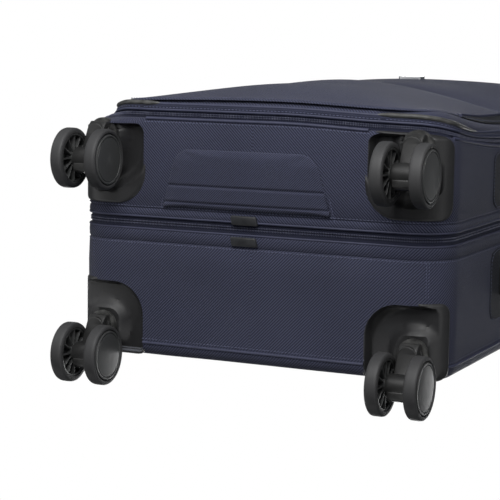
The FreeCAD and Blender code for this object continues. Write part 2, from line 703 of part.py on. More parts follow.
def release_button():
    """The button in the grip that frees the stages."""
    length, breadth, height = BUTTON_SIZE
    z1 = GRIP_TOP_Z + BUTTON_PROUD
    button = box(
        -length / 2, length / 2, HANDLE_Y - breadth / 2, HANDLE_Y + breadth / 2, z1 - height, z1)
    return rounded(button, V(0, 0, 1), 3.0)


# ---------------------------------------------------------------- carry handles and zipper pull

def carry_grip():
    """The rubber-covered bar of a carry handle, along X, above the origin."""
    half = CARRY_WIDTH / 2
    length = CARRY_HALF - ANCHOR_LENGTH - STRAP_SLOPE
    bar = box(-length, length, -half, half, CARRY_GAP, CARRY_GAP + CARRY_THICKNESS)
    return rounded(bar, V(1, 0, 0), 2.0)


def carry_strap():
    """The webbing from the bar's end, at +X, down into its end cap."""
    half = CARRY_WIDTH / 2 - 3.0
    bar_end = CARRY_HALF - ANCHOR_LENGTH - STRAP_SLOPE
    foot = CARRY_HALF - ANCHOR_LENGTH
    tail = CARRY_HALF - ANCHOR_SKIN - 2.0
    low = CARRY_GAP + (CARRY_THICKNESS - STRAP_THICKNESS) / 2
    outline = [
        (bar_end, low), (foot, STRAP_FOOT), (tail, STRAP_FOOT), (tail, STRAP_FOOT + STRAP_THICKNESS),
        (foot, STRAP_FOOT + STRAP_THICKNESS), (bar_end, low + STRAP_THICKNESS),
    ]
    points = [V(x, -half, z) for x, z in outline]
    return Part.Face(Part.makePolygon(points + points[:1])).extrude(V(0, 2 * half, 0))


def carry_anchor():
    """One hollow end cap of a carry handle, at +X, that the strap's end slides in."""
    x1 = CARRY_HALF
    x0 = x1 - ANCHOR_LENGTH + 4.0
    half = CARRY_WIDTH / 2 + 1.0
    height = STRAP_FOOT + STRAP_THICKNESS + 0.6 + ANCHOR_SKIN
    cap = rounded(box(x0, x1, -half, half, 0.0, height), V(0, 0, 1), 5.0)
    slot = box(x0 - 1.0, x1 - ANCHOR_SKIN, -half + ANCHOR_SKIN, half - ANCHOR_SKIN,
               STRAP_FOOT - 0.6, height - ANCHOR_SKIN)
    return cap.cut(slot)


def on_top(shape):
    """Move a handle piece to the top of the case."""
    shape.translate(V(0, CARRY_Y, TOP_Z))
    return shape


def on_side(shape):
    """Turn a handle piece to lie along the right side of the case."""
    shape.rotate(V(0, 0, 0), V(0, 1, 0), 90)
    shape.translate(V(SIDE_X, CARRY_Y, MID_Z))
    return shape


def both_handles(shape):
    """A piece at +X, its mirror image at -X, and the same again on the side handle."""
    left = shape.mirror(V(0, 0, 0), V(1, 0, 0))
    return group([on_top(group([shape, left])), on_side(group([shape, left]))])


def slider_z():
    """Height of the main zipper's slider, on the straight of the right side."""
    return TOP_Z - LID_SWEEP_HEIGHT - SLIDER_SIZE[2]


def zipper_slider():
    """The main zipper's slider, straddling the teeth on the right side."""
    depth, width, height = SLIDER_SIZE
    x0 = SIDE_X - TAPE_INSET + CLEAR
    z = slider_z()
    body = rounded_box(x0, x0 + depth, HINGE_Y - width / 2, HINGE_Y + width / 2,
                       z - height / 2, z + height / 2, V(1, 0, 0), 2.4)
    pin = V(x0 + depth - 1.6, HINGE_Y - width, z - height / 2 + 3.0)
    bore = disc(pin, V(0, 1, 0), PULL_PIN_RADIUS + RUNNING_FIT, 2 * width)
    slot = box(x0 + 1.6, x0 + depth + 1.0, HINGE_Y - 2.0 - CLEAR, HINGE_Y + 2.0 + CLEAR,
               z - height, z + height)
    return body.cut([bore, slot])


def zipper_pull():
    """The pull tab that hangs from the slider on its own pin."""
    depth, width, height = SLIDER_SIZE
    thick, wide, long = PULL_SIZE
    x = SIDE_X - TAPE_INSET + CLEAR + depth - 1.6
    z = slider_z() - height / 2 + 3.0
    eye = disc(V(x, HINGE_Y - 2.0, z), V(0, 1, 0), 1.5, 4.0)
    pin = disc(V(x, HINGE_Y - width / 2 + 0.2, z), V(0, 1, 0), PULL_PIN_RADIUS, width - 0.4)
    neck = box(x - thick / 2, x + thick / 2, HINGE_Y - 2.0, HINGE_Y + 2.0, z - 6.0, z)
    tab = rounded_box(x - thick / 2, x + thick / 2, HINGE_Y - wide / 2, HINGE_Y + wide / 2,
                      z - 5.0 - long, z - 5.0, V(1, 0, 0), 3.0)
    return joined([eye, pin, neck, tab])


def all_pieces():
    """Every node's name and shape."""
    pieces = {
        "rear_shell": rear_shell(),
        "back_panel": back_panel(),
        "expansion_gusset": expansion_gusset(),
        "expansion_zipper_rear_tape": expansion_zipper("rear"),
        "expansion_zipper_front_tape": expansion_zipper("front"),
        "side_feet": side_feet(),
        "divider_panel": divider_panel(),
        "front_shell": front_shell(),
        "main_zipper_body_half": main_zipper_body_half(),
        "main_zipper_lid_half": main_zipper_lid_half(),
        "base_pad": base_pad(),
        "frame_rod": frame_rod(),
        "lid_shell": lid_shell(),
        "lower_pocket": pocket("lower"),
        "upper_pocket": pocket("upper"),
        "corner_guards": corner_guards(),
        "lid_hinge_tape": hinge_tape(),
        "handle_outer_tubes": outer_tubes(),
        "handle_stage_1_tubes": stage_1_tubes(),
        "handle_stage_2_tubes": stage_2_tubes(),
        "handle_base_bracket": handle_base(),
        "handle_cup": handle_cup(),
        "handle_grip": grip(),
        "release_button": release_button(),
        "top_handle": on_top(carry_grip()),
        "side_handle": on_side(carry_grip()),
        "carry_handle_anchors": both_handles(carry_anchor()),
        "carry_handle_straps": both_handles(carry_strap()),
        "main_zipper_slider": zipper_slider(),
        "main_zipper_pull": zipper_pull(),
    }
    for end in ("front", "rear"):
        pieces[end + "_swivel_collars"] = swivel_collars(end)
        for side in ("left", "right"):
            corner = end + "_" + side
            pieces["wheel_housing_" + corner] = wheel_housing(end, side)
            pieces["caster_fork_" + corner] = fork(end, side)
            pieces["caster_axle_" + corner] = axle(end, side)
            for which in ("outer", "inner"):
                name = corner + "_" + which
                pieces["wheel_core_" + name] = wheel_core(end, side, which)
                pieces["wheel_tyre_" + name] = wheel_tyre(end, side, which)
    return pieces


os.makedirs("parts", exist_ok=True)
for name, shape in all_pieces().items():
    shape.exportStep("parts/" + name + ".step")
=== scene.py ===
"""The looks of a softside upright suitcase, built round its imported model.

Metres. +Z is up, the front faces -Y and +X is the right side seen from the front.
The case is a rounded box: u runs round its rim from the middle of the underside towards
+X, v runs from front to back, and lift is the height of a point over the case's surface.
"""

import logging
import math
from dataclasses import dataclass
from enum import Enum
from typing import Callable, Iterable, Sequence

import bmesh
import bpy
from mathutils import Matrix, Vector, noise


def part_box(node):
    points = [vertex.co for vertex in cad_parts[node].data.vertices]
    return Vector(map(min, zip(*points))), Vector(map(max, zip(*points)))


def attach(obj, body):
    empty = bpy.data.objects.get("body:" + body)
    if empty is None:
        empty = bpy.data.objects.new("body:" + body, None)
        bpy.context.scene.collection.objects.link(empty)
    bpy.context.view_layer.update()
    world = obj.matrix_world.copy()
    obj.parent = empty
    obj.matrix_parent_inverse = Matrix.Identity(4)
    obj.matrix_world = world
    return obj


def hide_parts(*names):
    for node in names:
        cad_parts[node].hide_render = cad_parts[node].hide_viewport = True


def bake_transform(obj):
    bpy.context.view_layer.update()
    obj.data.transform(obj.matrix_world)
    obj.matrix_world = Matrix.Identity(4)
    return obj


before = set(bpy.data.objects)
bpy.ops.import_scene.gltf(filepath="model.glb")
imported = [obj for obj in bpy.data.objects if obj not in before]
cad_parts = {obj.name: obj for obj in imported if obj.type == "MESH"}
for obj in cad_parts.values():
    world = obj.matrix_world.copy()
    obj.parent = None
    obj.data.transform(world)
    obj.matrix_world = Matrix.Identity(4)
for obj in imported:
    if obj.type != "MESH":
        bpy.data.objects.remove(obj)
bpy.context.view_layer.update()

log = logging.getLogger("suitcase")

MM = 0.001
Colour = tuple[float, float, float]
Profile = Sequence[tuple[float, float]]
Placer = Callable[[float, float, float], Vector]
Surface = Callable[[float, float], Vector]
Path = list[tuple[Vector, Vector]]
Piece = bpy.types.Object


class Body(str, Enum):
    """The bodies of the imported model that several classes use."""

    CASE = "root"
    FRONT = "front_half"
    LID = "lid"
    TOP_HANDLE = "top_handle"
    SIDE_HANDLE = "side_handle"


class Slot(str, Enum):
    """The record's material slots."""

    NAVY = "navy_fabric"
    LINING = "lining_fabric"
    ZIPPER = "zipper_tape"
    PLASTIC = "black_plastic"
    WHEEL = "wheel_plastic"
    TYRE = "tyre"
    STEEL = "steel"
    ALUMINIUM = "aluminium_tube"
    RUBBER = "grip_rubber"
    BUTTON = "button_plastic"
    DARK_METAL = "dark_metal"


class End(str, Enum):
    """The two ends of the case that carry casters."""

    FRONT = "front"
    REAR = "rear"


class Side(str, Enum):
    """The two sides of the case."""

    LEFT = "left"
    RIGHT = "right"


# ---------------------------------------------------------------- finishes


def srgb(red: float, green: float, blue: float) -> Colour:
    """A colour in linear light from 0-255 display values.

    Args:
        red: red, 0 to 255.
        green: green, 0 to 255.
        blue: blue, 0 to 255.

    Returns:
        The linear colour.
    """

    def linear(value: float) -> float:
        """One channel in linear light.

        Args:
            value: the display value.

        Returns:
            The linear value.
        """
        share = value / 255
        if share <= 0.04045:
            return share / 12.92
        return ((share + 0.055) / 1.055) ** 2.4

    return linear(red), linear(green), linear(blue)


class Graph:
    """A node tree with short ways to add and join its nodes."""

    def __init__(self, tree: bpy.types.NodeTree) -> None:
        """Work on one tree."""
        self.tree = tree

    def add(self, kind: str, **values: object) -> bpy.types.Node:
        """Add a node.

        Args:
            kind: the node's type name.
            values: properties of the node.

        Returns:
            The new node.
        """
        node = self.tree.nodes.new(kind)
        for name, value in values.items():
            setattr(node, name, value)
        return node

    def feed(self, socket: bpy.types.NodeSocket, source: object) -> None:
        """Join an output to an input, or set the input's own value.

        Args:
            socket: the input.
            source: an output or a plain value.
        """
        if isinstance(source, bpy.types.NodeSocket):
            self.tree.links.new(source, socket)
        else:
            socket.default_value = source

    def math(self, operation: str, *sources: object) -> bpy.types.NodeSocket:
        """A Math node's result for one to three sources.

        Args:
            operation: the node's operation.
            sources: its inputs, as outputs or numbers.

        Returns:
            The node's output.
        """
        node = self.add("ShaderNodeMath", operation=operation)
        for i, source in enumerate(sources):
            self.feed(node.inputs[i], source)
        return node.outputs[0]

    def mix_colour(self, share: object, first: object, second: object) -> bpy.types.NodeSocket:
        """A blend of two colours by a share from 0 to 1.

        Args:
            share: 0 for the first colour, 1 for the second.
            first: a colour.
            second: a colour.

        Returns:
            The node's output.
        """
        node = self.add("ShaderNodeMix", data_type="RGBA")
        self.feed(node.inputs[0], share)
        self.feed(node.inputs[6], first)
        self.feed(node.inputs[7], second)
        return node.outputs[2]

    def noise(self, vector: object, scale: float, detail: float = 2.0) -> bpy.types.NodeSocket:
        """A noise value from 0 to 1 over a position in metres.

        Args:
            vector: the position.
            scale: how fine the noise is.
            detail: how many finer layers it has.

        Returns:
            The node's output.
        """
        node = self.add("ShaderNodeTexNoise")
        node.inputs["Scale"].default_value = scale
        node.inputs["Detail"].default_value = detail
        self.feed(node.inputs["Vector"], vector)
        return node.outputs[0]

    def spread(self, value: object, low: float, high: float) -> bpy.types.NodeSocket:
        """A value stretched so that low becomes 0 and high becomes 1, within 0 to 1.

        Args:
            value: the value.
            low: what becomes 0.
            high: what becomes 1.

        Returns:
            The node's output.
        """
        node = self.add("ShaderNodeMapRange")
        self.feed(node.inputs["Value"], value)
        node.inputs["From Min"].default_value = low
        node.inputs["From Max"].default_value = high
        return node.outputs[0]


def new_group(name: str, inputs: Sequence[tuple[str, str, object]], outputs: Sequence[str]) -> Graph:
    """A shader node group with its sockets in place.

    Args:
        name: the group's name.
        inputs: name, socket type and default value of each input.
        outputs: names of the outputs, which are all values.

    Returns:
        A graph of the group's tree, with its in and out nodes as attributes.
    """
    tree = bpy.data.node_groups.new(name, "ShaderNodeTree")
    for label, kind, value in inputs:
        socket = tree.interface.new_socket(name=label, in_out="INPUT", socket_type=kind)
        if value is not None:
            socket.default_value = value
    for label in outputs:
        tree.interface.new_socket(name=label, in_out="OUTPUT", socket_type="NodeSocketFloat")
    graph = Graph(tree)
    graph.start = graph.add("NodeGroupInput").outputs
    graph.end = graph.add("NodeGroupOutput").inputs
    return graph


def twill_group() -> bpy.types.NodeTree:
    """Two-up, two-down twill: the thread's height, and which thread set is on top.

    Returns:
        The node group.
    """
    g = new_group(
        "Twill weave",
        [("Vector", "NodeSocketVector", None), ("Yarn", "NodeSocketFloat", 0.0007)],
        ["Height", "Warp"],
    )
    split = g.add("ShaderNodeSeparateXYZ")
    g.feed(split.inputs[0], g.start["Vector"])
    cells, crowns = [], []
    for axis in (0, 1):
        place = g.math("DIVIDE", split.outputs[axis], g.start["Yarn"])
        cells.append(g.math("FLOOR", place))
        across = g.math("MULTIPLY_ADD", g.math("FRACT", place), 2.0, -1.0)
        crowns.append(g.math("SUBTRACT", 1.0, g.math("MULTIPLY", across, across)))
    step = g.math("FLOORED_MODULO", g.math("ADD", cells[0], cells[1]), 4.0)
    warp = g.math("LESS_THAN", step, 1.5)
    weft = g.math("SUBTRACT", 1.0, warp)
    height = g.math("ADD", g.math("MULTIPLY", warp, crowns[0]), g.math("MULTIPLY", weft, crowns[1]))
    g.feed(g.end["Height"], height)
    g.feed(g.end["Warp"], warp)
    return g.tree


def blotch_group() -> bpy.types.NodeTree:
    """Slow and fine variation over a surface, both centred on one half.

    Returns:
        The node group.
    """
    g = new_group(
        "Blotch",
        [("Vector", "NodeSocketVector", None)],
        ["Slow", "Fine"],
    )
    g.feed(g.end["Slow"], g.noise(g.start["Vector"], 9.0, 3.0))
    g.feed(g.end["Fine"], g.noise(g.start["Vector"], 420.0, 2.0))
    return g.tree


def grain_group() -> bpy.types.NodeTree:
    """The leathery grain of a moulded face: its height, and where it is polished.

    Returns:
        The node group.
    """
    g = new_group(
        "Moulded grain",
        [("Vector", "NodeSocketVector", None), ("Pits", "NodeSocketFloat", 1400.0)],
        ["Height", "Polish"],
    )
    cells = g.add("ShaderNodeTexVoronoi", feature="SMOOTH_F1")
    g.feed(cells.inputs["Vector"], g.start["Vector"])
    g.feed(cells.inputs["Scale"], g.start["Pits"])
    g.feed(g.end["Height"], cells.outputs["Distance"])
    g.feed(g.end["Polish"], g.noise(g.start["Vector"], 30.0, 4.0))
    return g.tree


def edge_wear_and_highlight_group() -> bpy.types.NodeTree:
    """Rubbed edges and a painted edge highlight: a mask from how sharply the surface turns, broken up by
    noise.

    Returns:
        The node group.
    """
    g = new_group(
        "Edge wear",
        [("Vector", "NodeSocketVector", None), ("Amount", "NodeSocketFloat", 0.5)],
        ["Mask"],
    )
    # Convex edges: this mask lightens them, partly as wear and partly as a painted highlight.
    turn = g.spread(g.add("ShaderNodeNewGeometry").outputs["Pointiness"], 0.52, 0.60)
    patchy = g.spread(g.noise(g.start["Vector"], 160.0, 5.0), 0.35, 0.7)
    g.feed(g.end["Mask"], g.math("MULTIPLY", g.math("MULTIPLY", turn, patchy), g.start["Amount"]))
    return g.tree


def dust_group() -> bpy.types.NodeTree:
    """A trace of dust in soft patches.

    Returns:
        The node group.
    """
    g = new_group(
        "Dust",
        [("Vector", "NodeSocketVector", None), ("Amount", "NodeSocketFloat", 0.1)],
        ["Mask"],
    )
    patch = g.spread(g.noise(g.start["Vector"], 22.0, 6.0), 0.45, 0.85)
    speck = g.spread(g.noise(g.start["Vector"], 900.0, 1.0), 0.5, 0.8)
    g.feed(g.end["Mask"], g.math("MULTIPLY", g.math("MULTIPLY", patch, speck), g.start["Amount"]))
    return g.tree


class Groups:
    """The shared shader groups, each made the first time it is asked for."""

    makers = {
        "twill": twill_group,
        "blotch": blotch_group,
        "grain": grain_group,
        "wear_and_highlight": edge_wear_and_highlight_group,
        "dust": dust_group,
    }
    made: dict[str, bpy.types.NodeTree] = {}

    @classmethod
    def place(cls, graph: Graph, name: str, vector: object, **values: float) -> bpy.types.Node:
        """Put a shared group into a material.

        Args:
            graph: the material's graph.
            name: which group.
            vector: the position it reads.
            values: its other inputs.

        Returns:
            The group node.
        """
        if name not in cls.made:
            cls.made[name] = cls.makers[name]()
        node = graph.add("ShaderNodeGroup", node_tree=cls.made[name])
        graph.feed(node.inputs["Vector"], vector)
        for label, value in values.items():
            node.inputs[label].default_value = value
        return node


class Mapped(Enum):
    """How a pattern finds its place on a piece."""

    BY_UV = "uv"
    FACING_FRONT = "xz"
    FACING_DOWN = "xy"
    IN_SPACE = "xyz"


def start_material(name: str, mapped: Mapped) -> tuple[bpy.types.Material, Graph, object]:
    """An empty material and the position that its patterns read.

    Args:
        name: the material's name.
        mapped: where the position comes from.

    Returns:
        The material, its graph, and the position's socket.
    """
    material = bpy.data.materials.new(name)
    material.use_nodes = True
    graph = Graph(material.node_tree)
    graph.tree.nodes.clear()
    graph.out = graph.add("ShaderNodeOutputMaterial")
    if mapped is Mapped.BY_UV:
        return material, graph, graph.add("ShaderNodeUVMap", uv_map="UVMap").outputs[0]
    place = graph.add("ShaderNodeTexCoord").outputs["Object"]
    if mapped is Mapped.FACING_FRONT:
        turn = graph.add("ShaderNodeMapping")
        graph.feed(turn.inputs["Vector"], place)
        turn.inputs["Rotation"].default_value = (math.radians(-90), 0.0, 0.0)
        place = turn.outputs[0]
    return material, graph, place


def finish_shader(graph: Graph, colour: object, roughness: object, height: object, depth: float,
                  **constants: object) -> None:
    """The Principled shader at the end of a material.

    Args:
        graph: the material's graph.
        colour: base colour.
        roughness: roughness.
        height: height of the surface pattern, 0 to 1.
        depth: how deep the pattern is, in metres.
        constants: values set on the shader's own sockets.
    """
    shader = graph.add("ShaderNodeBsdfPrincipled")
    graph.feed(shader.inputs["Base Color"], colour)
    graph.feed(shader.inputs["Roughness"], roughness)
    bump = graph.add("ShaderNodeBump")
    bump.inputs["Distance"].default_value = depth
    bump.inputs["Strength"].default_value = 1.0
    graph.feed(bump.inputs["Height"], height)
    graph.feed(shader.inputs["Normal"], bump.outputs[0])
    for name, value in constants.items():
        shader.inputs[name.replace("_", " ")].default_value = value
    graph.feed(graph.out.inputs[0], shader.outputs[0])


@dataclass(frozen=True)
class Cloth:
    """A woven finish.

    The warp and weft have their own colours, so the twill's diagonal shows; the gaps between the threads
    are darkened as painted shade.
    """

    name: str
    warp: Colour
    weft: Colour
    yarn: float = 0.7 * MM
    relief: float = 0.16 * MM
    sheen: float = 0.08
    mapped: Mapped = Mapped.BY_UV

    def material(self) -> bpy.types.Material:
        """Build the material.

        Returns:
            The material.
        """
        material, g, place = start_material(self.name, self.mapped)
        weave = Groups.place(g, "twill", place, Yarn=self.yarn)
        space = g.add("ShaderNodeTexCoord").outputs["Object"]
        blotch = Groups.place(g, "blotch", space)
        dust = Groups.place(g, "dust", space, Amount=0.10)
        thread = g.mix_colour(weave.outputs["Warp"], (*self.weft, 1), (*self.warp, 1))
        # Painted shade: low places between the threads are darkened towards a third of the weft's colour.
        gap = g.spread(weave.outputs["Height"], 0.0, 0.75)
        gap_shaded_thread = g.mix_colour(gap, (*[c * 0.35 for c in self.weft], 1), thread)
        slow = g.math("MULTIPLY_ADD", blotch.outputs["Slow"], 0.5, 0.75)
        tone = g.math("MULTIPLY", slow, g.math("MULTIPLY_ADD", blotch.outputs["Fine"], 0.4, 0.8))
        lit = g.add("ShaderNodeVectorMath", operation="SCALE")
        g.feed(lit.inputs[0], gap_shaded_thread)
        g.feed(lit.inputs["Scale"], tone)
        colour = g.mix_colour(dust.outputs["Mask"], lit.outputs[0], (0.3, 0.3, 0.31, 1))
        finish_shader(
            g, colour, g.math("MULTIPLY_ADD", blotch.outputs["Fine"], 0.2, 0.68),
            weave.outputs["Height"], self.relief,
            Sheen_Weight=self.sheen, Sheen_Roughness=0.45, Specular_IOR_Level=0.3)
        return material


@dataclass(frozen=True)
class Moulded:
    """A moulded plastic or rubber finish, its convex edges lighter as wear and as a painted highlight."""

    name: str
    colour: Colour
    worn_and_highlit: Colour
    roughness: float = 0.45
    grain: float = 0.03 * MM
    pits: float = 1400.0
    wear_and_highlight: float = 0.5
    specular: float = 0.5

    def material(self) -> bpy.types.Material:
        """Build the material.

        Returns:
            The material.
        """
        material, g, place = start_material(self.name, Mapped.IN_SPACE)
        grain = Groups.place(g, "grain", place, Pits=self.pits)
        wear_and_highlight = Groups.place(g, "wear_and_highlight", place, Amount=self.wear_and_highlight)
        dust = Groups.place(g, "dust", place, Amount=0.12)
        tone = g.mix_colour(grain.outputs["Polish"], (*[c * 0.85 for c in self.colour], 1),
                            (*[c * 1.15 for c in self.colour], 1))
        # Painted highlight and wear: convex edges are mixed towards the second, lighter colour.
        rubbed_and_highlit = g.mix_colour(wear_and_highlight.outputs["Mask"], tone, (*self.worn_and_highlit, 1))
        colour = g.mix_colour(dust.outputs["Mask"], rubbed_and_highlit, (0.25, 0.25, 0.25, 1))
        rough = g.math("MULTIPLY_ADD", grain.outputs["Polish"], 0.16, self.roughness - 0.08)
        finish_shader(g, colour, rough, grain.outputs["Height"], self.grain,
                      Specular_IOR_Level=self.specular)
        return material


@dataclass(frozen=True)
class Metal:
    """A metal finish, drawn or brushed along Z."""

    name: str
    colour: Colour
    roughness: float = 0.3

    def material(self) -> bpy.types.Material:
        """Build the material.

        Returns:
            The material.
        """
        material, g, place = start_material(self.name, Mapped.IN_SPACE)
        drawn = g.add("ShaderNodeMapping")
        g.feed(drawn.inputs["Vector"], place)
        drawn.inputs["Scale"].default_value = (1.0, 1.0, 0.02)
        lines = g.noise(drawn.outputs[0], 2500.0, 3.0)
        wear_and_highlight = Groups.place(g, "wear_and_highlight", place, Amount=0.6)
        dust = Groups.place(g, "dust", place, Amount=0.1)
        # Painted glint and wear: convex edges are made half as bright again.
        rubbed_edge_glint = (*[min(1.0, c * 1.5) for c in self.colour], 1)
        rubbed_and_highlit = g.mix_colour(wear_and_highlight.outputs["Mask"], (*self.colour, 1), rubbed_edge_glint)
        colour = g.mix_colour(dust.outputs["Mask"], rubbed_and_highlit, (0.2, 0.2, 0.2, 1))
        finish_shader(g, colour, g.math("MULTIPLY_ADD", lines, 0.2, self.roughness - 0.1),
                      lines, 0.01 * MM, Metallic=1.0)
        return material


class Finishes:
    """Every material of the suitcase, made once."""

    def __init__(self) -> None:
        """Build all the materials."""
        navy, navy_low = srgb(80, 83, 107), srgb(31, 34, 53)
        dark, dark_low = srgb(40, 43, 52), srgb(24, 27, 35)
        band, band_low = srgb(52, 55, 78), srgb(28, 31, 50)
        guard_highlight_grey = srgb(150, 150, 148)
        self.navy = Cloth("navy_twill", navy, navy_low).material()
        self.navy_front = Cloth("navy_twill_front", navy, navy_low,
                                mapped=Mapped.FACING_FRONT).material()
        self.navy_base = Cloth("navy_twill_pad", navy, navy_low, yarn=0.55 * MM,
                               mapped=Mapped.FACING_DOWN).material()
        self.charcoal = Cloth("charcoal_twill", dark, dark_low, yarn=0.5 * MM, sheen=0.03).material()
        # Painted shade: the pockets' dark sides get a darker, sheenless copy of the side panels' charcoal
        # cloth.
        self.charcoal_shaded_front = Cloth("charcoal_twill_shaded_front", srgb(28, 31, 38), srgb(18, 20, 26),
                                    yarn=0.5 * MM, sheen=0.0, mapped=Mapped.FACING_FRONT).material()
        self.tape = Cloth("zipper_tape_cloth", band, band_low, yarn=0.45 * MM, sheen=0.05).material()
        self.webbing = Cloth("black_webbing", srgb(40, 41, 46), srgb(26, 27, 31), yarn=1.1 * MM,
                             relief=0.3 * MM).material()
        self.lining = Cloth("lining_cloth", srgb(96, 98, 104), srgb(78, 80, 86), yarn=0.4 * MM,
                            relief=0.05 * MM).material()
        # Each moulded finish's second colour is what its convex edges turn to: wear, and a painted edge
        # highlight.
        self.binding = Moulded("piping_cord", srgb(48, 51, 73), srgb(90, 93, 120), 0.6,
                               pits=1800.0, wear_and_highlight=0.3).material()
        self.thread = Moulded("navy_thread", srgb(86, 90, 116), srgb(120, 123, 145), 0.55,
                              pits=3000.0, wear_and_highlight=0.2).material()
        self.coil = Moulded("zipper_coil", srgb(64, 67, 88), srgb(130, 132, 150), 0.34,
                            pits=4000.0, wear_and_highlight=0.4).material()
        self.housing = Moulded("housing_plastic", srgb(38, 38, 39), srgb(112, 112, 112), 0.36,
                               grain=0.025 * MM, wear_and_highlight=0.7).material()
        self.fork = Moulded("fork_plastic", srgb(38, 38, 38), srgb(110, 110, 108), 0.33,
                            grain=0.015 * MM, wear_and_highlight=0.5).material()
        self.cap = Moulded("wheel_cap_plastic", srgb(68, 69, 69), srgb(120, 120, 120), 0.40,
                           grain=0.012 * MM, wear_and_highlight=0.5).material()
        self.tyre = Moulded("tyre_rubber", srgb(60, 60, 61), srgb(90, 90, 90), 0.58,
                            grain=0.03 * MM, pits=1100.0, wear_and_highlight=0.3, specular=0.4).material()
        # The guard's pale second colour paints a highlight along its edges, as well as wear.
        self.guard = Moulded("guard_rubber", srgb(56, 56, 55), guard_highlight_grey, 0.34,
                             grain=0.01 * MM, wear_and_highlight=0.7).material()
        self.grip = Moulded("grip_rubber_black", srgb(38, 39, 41), srgb(80, 80, 82), 0.6,
                            pits=900.0).material()
        self.trim = Moulded("trim_plastic", srgb(36, 37, 39), srgb(90, 91, 93), 0.38).material()
        self.button = Moulded("button_face", srgb(66, 68, 72), srgb(130, 130, 134), 0.35).material()
        self.aluminium = Metal("drawn_aluminium", srgb(176, 178, 182), 0.34).material()
        self.steel = Metal("bright_steel", srgb(150, 152, 156), 0.28).material()
        self.gunmetal = Metal("gunmetal", srgb(84, 86, 92), 0.32).material()
        self.silver = Metal("badge_silver", srgb(200, 201, 204), 0.22).material()


# ---------------------------------------------------------------- mesh making


@dataclass(frozen=True)
class Rim:
    """The case's rounded outline, seen from the front."""

    half_width: float
    low: float
    high: float
    radius: float

    @property
    def flat(self) -> float:
        """u where the right-hand bottom corner starts."""
        return self.half_width - self.radius

    @property
    def corner(self) -> float:
        """Length of one corner's arc."""
        return self.radius * math.pi / 2

    @property
    def side(self) -> float:
        """Length of a side's straight."""
        return self.high - self.low - 2 * self.radius

    @property
    def length(self) -> float:
        """Length of the whole outline."""
        return 4 * self.flat + 2 * self.side + 4 * self.corner

    def side_u(self, z: float) -> float:
        """u of a height on the right side's straight."""
        return self.flat + self.corner + z - self.low - self.radius

    def at(self, u: float) -> tuple[Vector, Vector]:
        """The point and outward direction at u, as (x, z) pairs in 3-D vectors.

        Args:
            u: place round the outline; it may be negative or past one turn.

        Returns:
            The point on the outline and the unit vector that points out of the case.
        """
        u %= self.length
        turns = ((self.flat, 0), (self.side, 1), (2 * self.flat, 2), (self.side, 3), (self.flat, 4))
        centres = (
            Vector((self.flat, 0, self.low + self.radius)),
            Vector((self.flat, 0, self.high - self.radius)),
            Vector((-self.flat, 0, self.high - self.radius)),
            Vector((-self.flat, 0, self.low + self.radius)),
        )
        starts = (
            Vector((0, 0, self.low)),
            centres[0] + Vector((self.radius, 0, 0)),
            centres[1] + Vector((0, 0, self.radius)),
            centres[2] - Vector((self.radius, 0, 0)),
            centres[3] - Vector((0, 0, self.radius)),
        )
        for run, turn in turns:
            angle = turn * math.pi / 2
            ahead = Vector((math.cos(angle), 0, math.sin(angle)))
            out = Vector((math.sin(angle), 0, -math.cos(angle)))
            if u <= run or turn == 4:
                return starts[turn] + ahead * u, out
            u -= run
            if u <= self.corner:
                angle += u / self.radius
                out = Vector((math.sin(angle), 0, -math.cos(angle)))
                return centres[turn] + out * self.radius, out
            u -= self.corner
        return starts[0], Vector((0, 0, -1))

    def stops(self, step: float, bend: int = 14) -> list[float]:
        """Values of u all the way round, close together in the corners.

        Args:
            step: greatest spacing on the straights.
            bend: number of steps in each corner.

        Returns:
            The values, ending before the start comes round again.
        """
        found, u = [], 0.0
        runs = (self.flat, self.side, 2 * self.flat, self.side, self.flat)
        for i, run in enumerate(runs):
            count = max(1, math.ceil(run / step))
            found += [u + run * k / count for k in range(count)]
            u += run
            if i < 4:
                found += [u + self.corner * k / bend for k in range(bend)]
                u += self.corner
        return found


@dataclass(frozen=True)
class Seam:
    """The main zipper's line: straight at mid-height, bowing forward to both ends."""

    y: float
    sweep: float
    height: float
    low: float
    high: float

    def lag(self, z: float) -> float:
        """How far behind its ends the line is at a height.

        Args:
            z: the height.

        Returns:
            The distance along Y.
        """
        radius = (self.height ** 2 + self.sweep ** 2) / (2 * self.sweep)
        off = max(0.0, self.low + self.height - z, z - self.high + self.height)
        off = min(off, self.height)
        return self.sweep - radius + math.sqrt(radius ** 2 - off ** 2)


class Skin:
    """Collects the faces of one mesh, with texture places in metres."""

    def __init__(self) -> None:
        """Start empty."""
        self.points: list[Vector] = []
        self.faces: list[tuple[int, ...]] = []
        self.places: list[list[tuple[float, float]]] = []
        self.slots: list[int] = []

    def point(self, place: Vector) -> int:
        """Add a point and return its number."""
        self.points.append(place)
        return len(self.points) - 1

    def face(self, corners: Sequence[int], places: Sequence[tuple[float, float]], slot: int = 0) -> None:
        """Add a face with a texture place for each corner.

        Args:
            corners: numbers of its points.
            places: the texture place of each corner.
            slot: which of the piece's materials it has.
        """
        self.faces.append(tuple(corners))
        self.places.append(list(places))
        self.slots.append(slot)

    def build(self, name: str, materials: Sequence[bpy.types.Material], smooth: float = 35.0,
              merge: float = 1e-6) -> Piece:
        """Make the object.

        Args:
            name: the object's name.
            materials: one for each slot number.
            smooth: edges that turn by more degrees stay sharp.
            merge: points closer together than this become one.

        Returns:
            The new object, closed and facing outwards.
        """
        mesh = bpy.data.meshes.new(name)
        mesh.from_pydata([tuple(p) for p in self.points], [], self.faces)
        uv = mesh.uv_layers.new(name="UVMap")
        flat = [pair for places in self.places for pair in places]
        for loop, pair in zip(uv.data, flat):
            loop.uv = pair
        mesh.polygons.foreach_set("material_index", self.slots)
        for material in materials:
            mesh.materials.append(material)
        tidy(mesh, merge)
        return finished(name, mesh, smooth)


